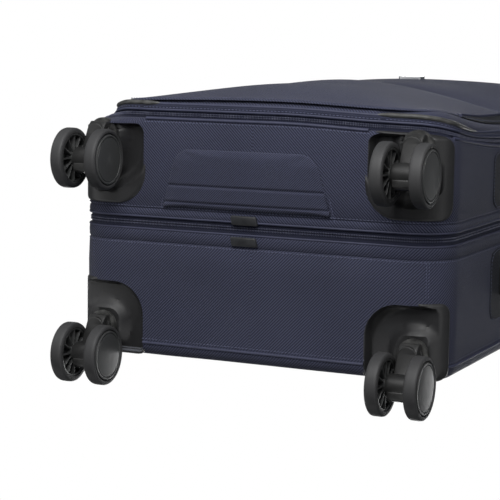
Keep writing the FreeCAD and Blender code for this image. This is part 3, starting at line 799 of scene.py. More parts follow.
def tidy(mesh: bpy.types.Mesh, merge: float = 1e-6) -> None:
    """Merge doubled points, drop faces without area and turn all faces outwards.

    Args:
        mesh: the mesh.
        merge: points nearer than this become one.
    """
    work = bmesh.new()
    work.from_mesh(mesh)
    bmesh.ops.remove_doubles(work, verts=work.verts, dist=merge)
    bmesh.ops.dissolve_degenerate(work, edges=work.edges, dist=merge)
    bmesh.ops.recalc_face_normals(work, faces=work.faces)
    work.to_mesh(mesh)
    work.free()


def finished(name: str, mesh: bpy.types.Mesh, smooth: float = 35.0) -> Piece:
    """An object of a mesh, smooth apart from its sharp edges.

    Args:
        name: the piece's name.
        mesh: the mesh.
        smooth: edges under this many degrees look smooth.

    Returns:
        The object.
    """
    mesh.shade_smooth()
    mesh.set_sharp_from_angle(angle=math.radians(smooth))
    piece = bpy.data.objects.new(name, mesh)
    bpy.context.scene.collection.objects.link(piece)
    return piece


def baked(piece: Piece) -> Piece:
    """Turn a piece's modifiers into its mesh.

    Args:
        piece: the piece.

    Returns:
        The piece.
    """
    bpy.context.view_layer.update()
    graph = bpy.context.evaluated_depsgraph_get()
    mesh = bpy.data.meshes.new_from_object(piece.evaluated_get(graph))
    piece.modifiers.clear()
    piece.data = mesh
    mesh.name = piece.name
    return piece


def bevelled(piece: Piece, width: float, segments: int = 3,
             angle: float = 30.0) -> Piece:
    """Round a piece's sharp edges.

    Args:
        piece: the piece.
        width: width of the round.
        segments: steps across it.
        angle: edges over this many degrees are rounded.

    Returns:
        The piece.
    """
    bevel = piece.modifiers.new("Bevel", "BEVEL")
    bevel.width = width
    bevel.segments = segments
    bevel.limit_method = "ANGLE"
    bevel.angle_limit = math.radians(angle)
    bevel.harden_normals = False
    baked(piece)
    piece.data.shade_smooth()
    piece.data.set_sharp_from_angle(angle=math.radians(50))
    return piece


def combined(piece: Piece, tool: Piece, operation: str) -> Piece:
    """Cut one piece with another or join them into one solid; the tool is used up.

    Args:
        piece: the piece.
        tool: the other piece.
        operation: the Boolean modifier's operation.

    Returns:
        The piece.
    """
    step = piece.modifiers.new("Combine", "BOOLEAN")
    step.operation = operation
    step.solver = "EXACT"
    step.object = tool
    baked(piece)
    bpy.data.objects.remove(tool)
    tidy(piece.data)
    piece.data.shade_smooth()
    piece.data.set_sharp_from_angle(angle=math.radians(35))
    return piece


def dressed(piece: Piece, body: Body | str, slot: Slot,
            replaces: Iterable[str] = ()) -> Piece:
    """Put a finished piece on its body.

    Args:
        piece: the piece, in place.
        body: the body that it rides on.
        slot: the record's slot for its finish; it is only looked up, not used.
        replaces: the nodes that it stands for.

    Returns:
        The piece.
    """
    Slot(slot).value
    nodes = list(replaces)
    if nodes:
        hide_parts(*nodes)
    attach(piece, body.value if isinstance(body, Enum) else body)
    return piece


def sweep(name: str, place: Placer, stops: Sequence[float],
          profile: Sequence[tuple], materials: Sequence[bpy.types.Material], whole: bool = True,
          slots: Sequence[int] = (), smooth: float = 35.0) -> Piece:
    """Carry a closed profile round the rim.

    Args:
        name: the piece's name.
        place: turns u, lift and v into a point.
        stops: the values of u.
        profile: (lift, v) pairs of a closed loop.
        materials: the piece's materials.
        whole: whether it goes all the way round; if not, both ends are capped.
        slots: material number of each profile edge, or nothing for all 0.
        smooth: edges that turn by more degrees stay sharp.

    Returns:
        The piece.
    """
    skin = Skin()
    rows = [[skin.point(place(u, lift, v)) for lift, v in profile] for u in stops]
    run = [0.0]
    for (l0, v0), (l1, v1) in zip(profile, list(profile[1:]) + [profile[0]]):
        run.append(run[-1] + math.hypot(l1 - l0, v1 - v0))
    count, around = len(stops), len(profile)
    step = stops[-1] - stops[-2]
    for i in range(count if whole else count - 1):
        after = (i + 1) % count
        u0 = stops[i]
        u1 = stops[after] if after else stops[-1] + step
        for j in range(around):
            k = (j + 1) % around
            skin.face(
                (rows[i][j], rows[after][j], rows[after][k], rows[i][k]),
                ((u0, run[j]), (u1, run[j]), (u1, run[j + 1]), (u0, run[j + 1])),
                slots[j] if slots else 0)
    if not whole:
        flat = [(lift, v) for lift, v in profile]
        skin.face(rows[0], flat)
        skin.face(rows[-1], flat)
    return skin.build(name, materials, smooth)


def bowl(name: str, place: Placer, stops: Sequence[float],
         profile: Sequence[tuple], materials: Sequence[bpy.types.Material],
         slots: Sequence[int]) -> Piece:
    """Carry an open profile round the rim and close both ends of it with flat faces.

    Args:
        name: the piece's name.
        place: turns u, lift and v into a point.
        stops: the values of u, all the way round.
        profile: (lift, v) pairs, from the middle of the inner skin to that of the outer skin.
        materials: the piece's materials.
        slots: material number of each profile edge.

    Returns:
        The piece, a closed double skin.
    """
    skin = Skin()
    rows = [[skin.point(place(u, lift, v)) for lift, v in profile] for u in stops]
    run = [0.0]
    for (l0, v0), (l1, v1) in zip(profile, profile[1:]):
        run.append(run[-1] + math.hypot(l1 - l0, v1 - v0))
    count = len(stops)
    for i in range(count):
        after = (i + 1) % count
        u0 = stops[i]
        u1 = stops[after] if after else 2 * stops[-1] - stops[-2]
        for j in range(len(profile) - 1):
            skin.face(
                (rows[i][j], rows[after][j], rows[after][j + 1], rows[i][j + 1]),
                ((u0, run[j]), (u1, run[j]), (u1, run[j + 1]), (u0, run[j + 1])),
                slots[j])
    for j, slot in ((0, slots[0]), (len(profile) - 1, slots[-1])):
        ring = [row[j] for row in rows]
        skin.face(ring, [(skin.points[k].x, skin.points[k].z) for k in ring], slot)
    return skin.build(name, materials)


def turned(name: str, profile: Profile, centre: Vector, facing: float, material: bpy.types.Material,
           segments: int = 72) -> Piece:
    """A piece turned about an axis along X.

    Args:
        name: the piece's name.
        profile: (x, radius) pairs in millimetres of a closed outline.
        centre: where x = 0 on the axis is.
        facing: +1, or -1 to face the other way.
        material: its finish.
        segments: number of steps round the axis.

    Returns:
        The piece.
    """
    skin = Skin()
    rows = []
    for i in range(segments):
        angle = 2 * math.pi * i / segments
        out = Vector((0, math.cos(angle), math.sin(angle)))
        rows.append([skin.point(centre + Vector((facing * x * MM, 0, 0)) + out * r * MM)
                     for x, r in profile])
    for i in range(segments):
        after = (i + 1) % segments
        for j in range(len(profile)):
            k = (j + 1) % len(profile)
            corners = (rows[i][j], rows[after][j], rows[after][k], rows[i][k])
            skin.face(corners, [(i * MM, j * MM)] * 4)
    return skin.build(name, [material], smooth=28.0, merge=1e-5)


def prism(name: str, outline: Sequence[Vector], depth: Vector,
          material: bpy.types.Material) -> Piece:
    """A flat outline pushed along a vector.

    Args:
        name: the piece's name.
        outline: its corners in order.
        depth: the vector.
        material: its material.

    Returns:
        The piece.
    """
    skin = Skin()
    near = [skin.point(p) for p in outline]
    far = [skin.point(p + depth) for p in outline]
    flat = [(p.x + p.z, p.y) for p in outline]
    skin.face(near, flat)
    skin.face(far, flat)
    total = 0.0
    for i in range(len(outline)):
        k = (i + 1) % len(outline)
        length = (outline[k] - outline[i]).length
        skin.face(
            (near[i], near[k], far[k], far[i]),
            ((total, 0), (total + length, 0), (total + length, depth.length), (total, depth.length)))
        total += length
    return skin.build(name, [material])


def rounded_outline(low: Vector, high: Vector, axis: int, corner: float,
                    steps: int = 6) -> list[Vector]:
    """The rounded rectangle that a box shows along an axis, at the box's low face.

    Args:
        low: the box's lowest corner.
        high: the box's highest corner.
        axis: 0, 1 or 2 for X, Y or Z.
        corner: radius of its corners.
        steps: steps in each corner.

    Returns:
        Its points.
    """
    a, b = [i for i in range(3) if i != axis]
    points = []
    for quarter, (p, q) in enumerate(((1, 1), (0, 1), (0, 0), (1, 0))):
        ca = (high[a] - corner) if p else (low[a] + corner)
        cb = (high[b] - corner) if q else (low[b] + corner)
        for k in range(steps + 1):
            angle = math.pi / 2 * (quarter + k / steps)
            point = Vector((0, 0, 0))
            point[axis] = low[axis]
            point[a] = ca + corner * math.cos(angle)
            point[b] = cb + corner * math.sin(angle)
            points.append(point)
    return points


def block(name: str, low: Vector, high: Vector, axis: int, corner: float, edge: float,
          material: bpy.types.Material) -> Piece:
    """A bar with rounded corners seen along one axis and softened edges.

    Args:
        name: the piece's name.
        low: the bar's lowest corner.
        high: the bar's highest corner.
        axis: 0, 1 or 2 for X, Y or Z.
        corner: radius of the corners.
        edge: how far its edges are softened.
        material: its material.

    Returns:
        The piece.
    """
    depth = Vector((0, 0, 0))
    depth[axis] = high[axis] - low[axis]
    piece = prism(name, rounded_outline(low, high, axis, corner), depth, material)
    return bevelled(piece, edge)


# ---------------------------------------------------------------- patches on the case


@dataclass(frozen=True)
class Patch:
    """A rounded rectangle laid on the case's surface, in u and v."""

    u0: float
    u1: float
    v0: float
    v1: float
    corner: float
    tight: float | None = None
    wide: tuple[int, int] = (-1, 1)

    def radius(self, across: float, along: float) -> float:
        """The corner radius on one quarter; only one corner is wide if `tight` is given.

        Args:
            across: which side of the middle, by its sign.
            along: which end from the middle, by its sign.

        Returns:
            The radius.
        """
        if self.tight is None or (across * self.wide[0] > 0 and along * self.wide[1] > 0):
            return self.corner
        return self.tight

    def depth_inside(self, u: float, v: float) -> float:
        """How far inside the outline a place is; negative outside.

        Args:
            u: the place's first coordinate.
            v: the place's second coordinate.

        Returns:
            The distance.
        """
        across, along = u - (self.u0 + self.u1) / 2, v - (self.v0 + self.v1) / 2
        corner = self.radius(across, along)
        a = abs(across) - (self.u1 - self.u0) / 2 + corner
        b = abs(along) - (self.v1 - self.v0) / 2 + corner
        outside = math.hypot(max(a, 0.0), max(b, 0.0))
        return corner - outside - min(max(a, b), 0.0)

    def reach(self, centre: tuple[float, float], angle: float) -> float:
        """Distance from a centre to the outline in a direction.

        Args:
            centre: where it is measured from.
            angle: the direction, in radians.

        Returns:
            The distance.
        """
        near, far = 0.0, 1.0
        for _ in range(40):
            middle = (near + far) / 2
            u = centre[0] + middle * math.cos(angle)
            v = centre[1] + middle * math.sin(angle)
            if self.depth_inside(u, v) > 0:
                near = middle
            else:
                far = middle
        return near

    def mesh(self, name: str, centre: tuple[float, float], shares: Sequence[float], spokes: int,
             top: Surface, under: Surface,
             materials: Sequence[bpy.types.Material]) -> Piece:
        """A closed plate with this outline.

        Args:
            name: the piece's name.
            centre: where its spokes meet, as (u, v).
            shares: how far along each spoke its rings are, up to 1.
            spokes: number of spokes.
            top: a point of the outer face.
            under: a point of the inner face.
            materials: its finishes, the second one for the inner face if there are two.

        Returns:
            The piece.
        """
        skin = Skin()
        inner_slot = 1 if len(materials) > 1 else 0
        rings = []
        for surface in (top, under):
            middle = skin.point(surface(*centre))
            rows, flat = [], []
            for i in range(spokes):
                angle = 2 * math.pi * i / spokes
                reach = self.reach(centre, angle)
                places = [(centre[0] + s * reach * math.cos(angle),
                           centre[1] + s * reach * math.sin(angle)) for s in shares]
                rows.append([skin.point(surface(u, v)) for u, v in places])
                flat.append(places)
            slot = inner_slot if surface is under else 0
            for i in range(spokes):
                k = (i + 1) % spokes
                skin.face((middle, rows[i][0], rows[k][0]), (centre, flat[i][0], flat[k][0]), slot)
                for j in range(len(shares) - 1):
                    skin.face(
                        (rows[i][j], rows[i][j + 1], rows[k][j + 1], rows[k][j]),
                        (flat[i][j], flat[i][j + 1], flat[k][j + 1], flat[k][j]), slot)
            rings.append(([row[-1] for row in rows], [row[-1] for row in flat]))
        (outer, flat), (inner, _) = rings
        for i in range(spokes):
            k = (i + 1) % spokes
            skin.face((outer[i], outer[k], inner[k], inner[i]), (flat[i], flat[k], flat[k], flat[i]))
        return skin.build(name, materials)


@dataclass(frozen=True)
class Case:
    """The rounded box that every fabric piece is laid on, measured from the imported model."""

    rim: Rim
    seam: Seam
    back: float
    back_radius: float
    rear_edge: float

    CORNER = 35 * MM
    BACK_ROUND = 11 * MM
    TAPE_GAP = 0.15 * MM
    SWEEP = 22 * MM
    SWEEP_HEIGHT = 190 * MM

    @classmethod
    def measured(cls) -> "Case":
        """Read the case's sizes from its nodes.

        Returns:
            The case.
        """
        low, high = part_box("rear_shell")
        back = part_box("back_panel")[1].y
        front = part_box("front_shell")
        rim = Rim(high.x, low.z, high.z, cls.CORNER)
        seam = Seam(front[0].y - cls.TAPE_GAP, cls.SWEEP, cls.SWEEP_HEIGHT, low.z, high.z)
        return cls(rim, seam, back, cls.BACK_ROUND, low.y)

    @property
    def turn_v(self) -> float:
        """v where the back edge starts to turn in."""
        return self.back - self.back_radius

    def wrapped(self, u: float, lift: float, v: float) -> Vector:
        """A point over the case's surface, with v measured over the rounded back edge.

        Args:
            u: distance round the outline from the middle of the underside.
            lift: distance out from the surface.
            v: depth, measured over the rounded edge.

        Returns:
            The point.
        """
        point, out = self.rim.at(u)
        over = v - self.turn_v
        if over <= 0:
            return point + out * lift + Vector((0, v, 0))
        angle = over / self.back_radius
        reach = self.back_radius + lift
        away = reach * math.cos(angle) - self.back_radius
        return point + out * away + Vector((0, self.turn_v + reach * math.sin(angle), 0))

    def following(self, u: float, lift: float, v: float) -> Vector:
        """A point placed from the main zipper's line: v = 0 is on the line."""
        point, out = self.rim.at(u)
        return drawn_in(point + out * lift + Vector((0, self.seam.y + self.seam.lag(point.z) + v, 0)))


def ramp(value: float, low: float, high: float) -> float:
    """0 below `low`, 1 above `high`, and a smooth step between."""
    t = min(1.0, max(0.0, (value - low) / (high - low)))
    return t * t * (3 - 2 * t)


DRAW_IN = 26 * MM
SAG = 4 * MM
WHEEL_ROOM = 3.4 * MM


def drawn_in(point: Vector) -> Vector:
    """The front's soft bottom corners: the left drawn in, the right sagging, both clear of the wheels.

    Args:
        point: the point.

    Returns:
        The point, moved.
    """
    share = ramp(-point.y, 92 * MM, 106 * MM) * ramp(-point.x, 92 * MM, 168 * MM)
    fade = 1 - ramp(point.z, 120 * MM, 230 * MM)
    sag = SAG * ramp(-point.y, 82 * MM, 102 * MM) * ramp(point.x, 20 * MM, 150 * MM)
    clear = WHEEL_ROOM * ramp(-point.y, 95 * MM, 101 * MM) * ramp(abs(point.x), 106 * MM, 122 * MM)
    clear *= 1 - ramp(point.z, 60 * MM, 76 * MM)
    return point + Vector((DRAW_IN * share * fade, sag * fade, clear))


def softened(piece: Piece, amount: float, size: float) -> Piece:
    """Ease a fabric piece out of true by a smooth, fixed unevenness.

    Args:
        piece: the piece.
        amount: greatest movement along the normals.
        size: distance over which it changes.

    Returns:
        The piece.
    """
    mesh = piece.data
    normals = [v.normal.copy() for v in mesh.vertices]
    for vertex, normal in zip(mesh.vertices, normals):
        vertex.co += normal * amount * noise.noise(vertex.co / size)
    mesh.update()
    return piece


# ---------------------------------------------------------------- rows of small shapes


@dataclass(frozen=True)
class RowStyle:
    """The size and spacing of one repeated shape."""

    spacing: float
    along: float
    across: float
    height: float


class Rows(Enum):
    """The kinds of row that are sewn or woven into the case."""

    STITCH = RowStyle(3.4 * MM, 2.5 * MM, 0.7 * MM, 0.5 * MM)
    FINE_STITCH = RowStyle(2.6 * MM, 1.9 * MM, 0.55 * MM, 0.45 * MM)
    COIL = RowStyle(1.5 * MM, 0.8 * MM, 1.7 * MM, 1.1 * MM)


def row_tree() -> bpy.types.NodeTree:
    """Geometry nodes that set rounded beads along the edges of a path mesh.

    Returns:
        The node tree.
    """
    tree = bpy.data.node_groups.new("Bead row", "GeometryNodeTree")
    tree.interface.new_socket("Geometry", in_out="INPUT", socket_type="NodeSocketGeometry")
    for name in ("Spacing", "Along", "Across", "Height"):
        tree.interface.new_socket(name, in_out="INPUT", socket_type="NodeSocketFloat")
    tree.interface.new_socket("Finish", in_out="INPUT", socket_type="NodeSocketMaterial")
    tree.interface.new_socket("Geometry", in_out="OUTPUT", socket_type="NodeSocketGeometry")
    g = Graph(tree)
    start, end = g.add("NodeGroupInput").outputs, g.add("NodeGroupOutput")
    curve = g.add("GeometryNodeMeshToCurve")
    g.feed(curve.inputs["Mesh"], start["Geometry"])
    even = g.add("GeometryNodeResampleCurve", mode="LENGTH")
    g.feed(even.inputs["Curve"], curve.outputs[0])
    g.feed(even.inputs["Length"], start["Spacing"])
    bead = g.add("GeometryNodeMeshUVSphere")
    bead.inputs["Segments"].default_value = 6
    bead.inputs["Rings"].default_value = 4
    bead.inputs["Radius"].default_value = 0.5
    size = g.add("ShaderNodeCombineXYZ")
    for i, name in enumerate(("Along", "Across", "Height")):
        g.feed(size.inputs[i], start[name])
    tangent = g.add("GeometryNodeInputTangent")
    forward = g.add("FunctionNodeAlignRotationToVector", axis="X")
    g.feed(forward.inputs["Vector"], tangent.outputs[0])
    out = g.add("GeometryNodeInputNamedAttribute", data_type="FLOAT_VECTOR")
    out.inputs["Name"].default_value = "outward"
    upright = g.add("FunctionNodeAlignRotationToVector", axis="Z", pivot_axis="X")
    g.feed(upright.inputs["Rotation"], forward.outputs[0])
    g.feed(upright.inputs["Vector"], out.outputs[0])
    spread = g.add("GeometryNodeInstanceOnPoints")
    g.feed(spread.inputs["Points"], even.outputs[0])
    g.feed(spread.inputs["Instance"], bead.outputs[0])
    g.feed(spread.inputs["Rotation"], upright.outputs[0])
    g.feed(spread.inputs["Scale"], size.outputs[0])
    real = g.add("GeometryNodeRealizeInstances")
    g.feed(real.inputs[0], spread.outputs[0])
    finish = g.add("GeometryNodeSetMaterial")
    g.feed(finish.inputs["Geometry"], real.outputs[0])
    g.feed(finish.inputs["Material"], start["Finish"])
    g.feed(end.inputs[0], finish.outputs[0])
    return tree


def rib_tree() -> bpy.types.NodeTree:
    """Geometry nodes that set flat ribs round an axis along X.

    Returns:
        The node tree.
    """
    tree = bpy.data.node_groups.new("Radial ribs", "GeometryNodeTree")
    tree.interface.new_socket("Geometry", in_out="INPUT", socket_type="NodeSocketGeometry")
    tree.interface.new_socket("Count", in_out="INPUT", socket_type="NodeSocketInt")
    for name in ("Radius", "Size", "Centre"):
        tree.interface.new_socket(name, in_out="INPUT", socket_type=(
            "NodeSocketFloat" if name == "Radius" else "NodeSocketVector"))
    tree.interface.new_socket("Finish", in_out="INPUT", socket_type="NodeSocketMaterial")
    tree.interface.new_socket("Geometry", in_out="OUTPUT", socket_type="NodeSocketGeometry")
    g = Graph(tree)
    start, end = g.add("NodeGroupInput").outputs, g.add("NodeGroupOutput")
    rib = g.add("GeometryNodeMeshCube")
    g.feed(rib.inputs["Size"], start["Size"])
    away = g.add("ShaderNodeCombineXYZ")
    g.feed(away.inputs[2], start["Radius"])
    moved = g.add("GeometryNodeTransform")
    g.feed(moved.inputs["Geometry"], rib.outputs[0])
    g.feed(moved.inputs["Translation"], away.outputs[0])
    hub = g.add("GeometryNodePoints")
    g.feed(hub.inputs["Count"], start["Count"])
    turn = g.math("DIVIDE", 2 * math.pi, start["Count"])
    angle = g.add("ShaderNodeCombineXYZ")
    g.feed(angle.inputs[0], g.math("MULTIPLY", g.add("GeometryNodeInputIndex").outputs[0], turn))
    spread = g.add("GeometryNodeInstanceOnPoints")
    g.feed(spread.inputs["Points"], hub.outputs[0])
    g.feed(spread.inputs["Instance"], moved.outputs[0])
    g.feed(spread.inputs["Rotation"], angle.outputs[0])
    placed = g.add("GeometryNodeTransform")
    g.feed(placed.inputs["Geometry"], spread.outputs[0])
    g.feed(placed.inputs["Translation"], start["Centre"])
    real = g.add("GeometryNodeRealizeInstances")
    g.feed(real.inputs[0], placed.outputs[0])
    finish = g.add("GeometryNodeSetMaterial")
    g.feed(finish.inputs["Geometry"], real.outputs[0])
    g.feed(finish.inputs["Material"], start["Finish"])
    g.feed(end.inputs[0], finish.outputs[0])
    return tree


def grown(piece: Piece, tree: bpy.types.NodeTree, **values: object) -> Piece:
    """Run a geometry tree on a piece and keep the result as its mesh.

    Args:
        piece: the piece that carries the tree.
        tree: the tree.
        values: its inputs by name.

    Returns:
        The piece.
    """
    step = piece.modifiers.new("Grow", "NODES")
    step.node_group = tree
    for item in tree.interface.items_tree:
        if item.in_out == "INPUT" and item.name in values:
            step[item.identifier] = values[item.name]
    baked(piece)
    piece.data.shade_smooth()
    piece.data.set_sharp_from_angle(angle=math.radians(50))
    return piece


class RowMaker:
    """Builds rows of stitches and teeth, one piece for each call."""

    def __init__(self) -> None:
        """Make the tree once."""
        self.tree = row_tree()

    def make(self, name: str, kind: Rows, paths: Sequence[Sequence[tuple[Vector, Vector]]],
             material: bpy.types.Material, closed: bool) -> Piece:
        """Set beads along paths.

        Args:
            name: the piece's name.
            kind: which row.
            paths: for each path, its points and the directions out of the surface there.
            material: the beads' finish.
            closed: whether each path ends where it starts.

        Returns:
            The piece.
        """
        points, edges, outs = [], [], []
        for path in paths:
            base = len(points)
            for place, out in path:
                points.append(tuple(place))
                outs.append(tuple(out))
            edges += [(base + i, base + i + 1) for i in range(len(path) - 1)]
            if closed:
                edges.append((base + len(path) - 1, base))
        mesh = bpy.data.meshes.new(name)
        mesh.from_pydata(points, edges, [])
        layer = mesh.attributes.new("outward", "FLOAT_VECTOR", "POINT")
        layer.data.foreach_set("vector", [c for out in outs for c in out])
        piece = bpy.data.objects.new(name, mesh)
        bpy.context.scene.collection.objects.link(piece)
        style: RowStyle = kind.value
        return grown(piece, self.tree, Spacing=style.spacing, Along=style.along,
                     Across=style.across, Height=style.height, Finish=material)


# ---------------------------------------------------------------- soft pieces


def inflated(piece: Piece, voxel: float, cap: float, held: Callable[[Vector], float],
             keep: Callable[[Vector], Vector]) -> Piece:
    """Swell a closed piece by cloth simulation, so that its faces crown and its edges pull in.

    Args:
        piece: the piece at its start shape.
        voxel: size of the remesh, or 0 to keep the mesh.
        cap: greatest distance that a point may move.
        held: how firmly a point is held, from 0 to 1.
        keep: brings a point back inside its room.

    Returns:
        The piece, with no modifier left.
    """
    if voxel:
        remesh = piece.modifiers.new("Remesh", "REMESH")
        remesh.mode = "VOXEL"
        remesh.voxel_size = voxel
        baked(piece)
    rest = [v.co.copy() for v in piece.data.vertices]
    pins = piece.vertex_groups.new(name="held")
    for i, place in enumerate(rest):
        pins.add([i], held(place), "REPLACE")
    cloth = piece.modifiers.new("Cloth", "CLOTH")
    cloth.settings.use_pressure = True
    cloth.settings.uniform_pressure_force = 4.0
    cloth.settings.effector_weights.gravity = 0.0
    cloth.settings.vertex_group_mass = "held"
    cloth.settings.quality = 4
    for number in range(1, 21):
        bpy.context.scene.frame_set(number)
    baked(piece)
    bpy.context.scene.frame_set(1)
    piece.vertex_groups.clear()
    for vertex, before in zip(piece.data.vertices, rest):
        move = vertex.co - before
        if move.length > cap:
            move *= cap / move.length
        vertex.co = keep(before + move)
    smooth = piece.modifiers.new("Smooth", "SMOOTH")
    smooth.iterations = 4
    finer = piece.modifiers.new("Finer", "SUBSURF")
    finer.levels = finer.render_levels = 1
    baked(piece)
    piece.data.shade_smooth()
    return piece


# ---------------------------------------------------------------- the case


def arc(lift: float, v: float, radius: float, start: float, stop: float, steps: int) -> list[tuple]:
    """Points of an arc in a profile, with angles in degrees from the lift axis."""
    angles = [math.radians(start + (stop - start) * k / steps) for k in range(steps + 1)]
    return [(lift + radius * math.cos(a), v + radius * math.sin(a)) for a in angles]


def in_mm(profile: Profile) -> list[tuple]:
    """A profile given in millimetres."""
    return [(a * MM, b * MM) for a, b in profile]


BOW_START = -34 * MM            # depth where the front half begins to follow the zipper's bow
BOW_MARGIN = 8 * MM             # and how far short of the zipper it follows it fully
RING_STEP = 12 * MM
HOUSING_NEAR = 107 * MM         # where the housings begin, measured round the case
HOUSING_FAR = 184.5 * MM        # and where they end on the sides
PANEL_SHARES = (0.3, 0.6, 0.8, 0.88, 0.93, 0.96, 0.98, 0.99, 1.0)


def front_place(case: Case, u: float, lift: float, v: float) -> Vector:
    """A point of the front half, straight at its rear edge and bowed along the main zipper.

    Args:
        case: the case.
        u: distance round the outline from the middle of the underside.
        lift: distance out from the surface.
        v: depth at the underside.

    Returns:
        The point.
    """
    point, out = case.rim.at(u)
    still, bowed = BOW_START, case.seam.y + BOW_MARGIN
    share = min(1.0, max(0.0, (v - still) / (bowed - still)))
    return drawn_in(point + out * lift + Vector((0, v + case.seam.lag(point.z) * share, 0)))


def ring_path(place: Placer, case: Case, lift: float,
              v: float) -> Path:
    """A path all the way round the case, with the directions out of it."""
    return [(place(u, lift, v), case.rim.at(u)[1]) for u in case.rim.stops(RING_STEP)]


def broken_ring(place: Placer, case: Case, lift: float,
                v: float, gap: float) -> list[Path]:
    """Three parts of the path round the case: the underside, and each side up to a gap on top.

    Args:
        place: gives the point at a distance round, a lift and a depth.
        case: the case.
        lift: distance out from the surface.
        v: depth.
        gap: half the gap's width.

    Returns:
        The points of each part, each with its direction out.
    """
    near, far, half = HOUSING_NEAR, HOUSING_FAR, case.rim.length / 2
    under = [near * (2 * k / 30 - 1) for k in range(31)]
    climb = [far + (half - gap - far) * k / 110 for k in range(111)]
    parts = (under, climb, [-u for u in climb])
    return [[(place(u, lift, v), case.rim.at(u)[1]) for u in part] for part in parts]


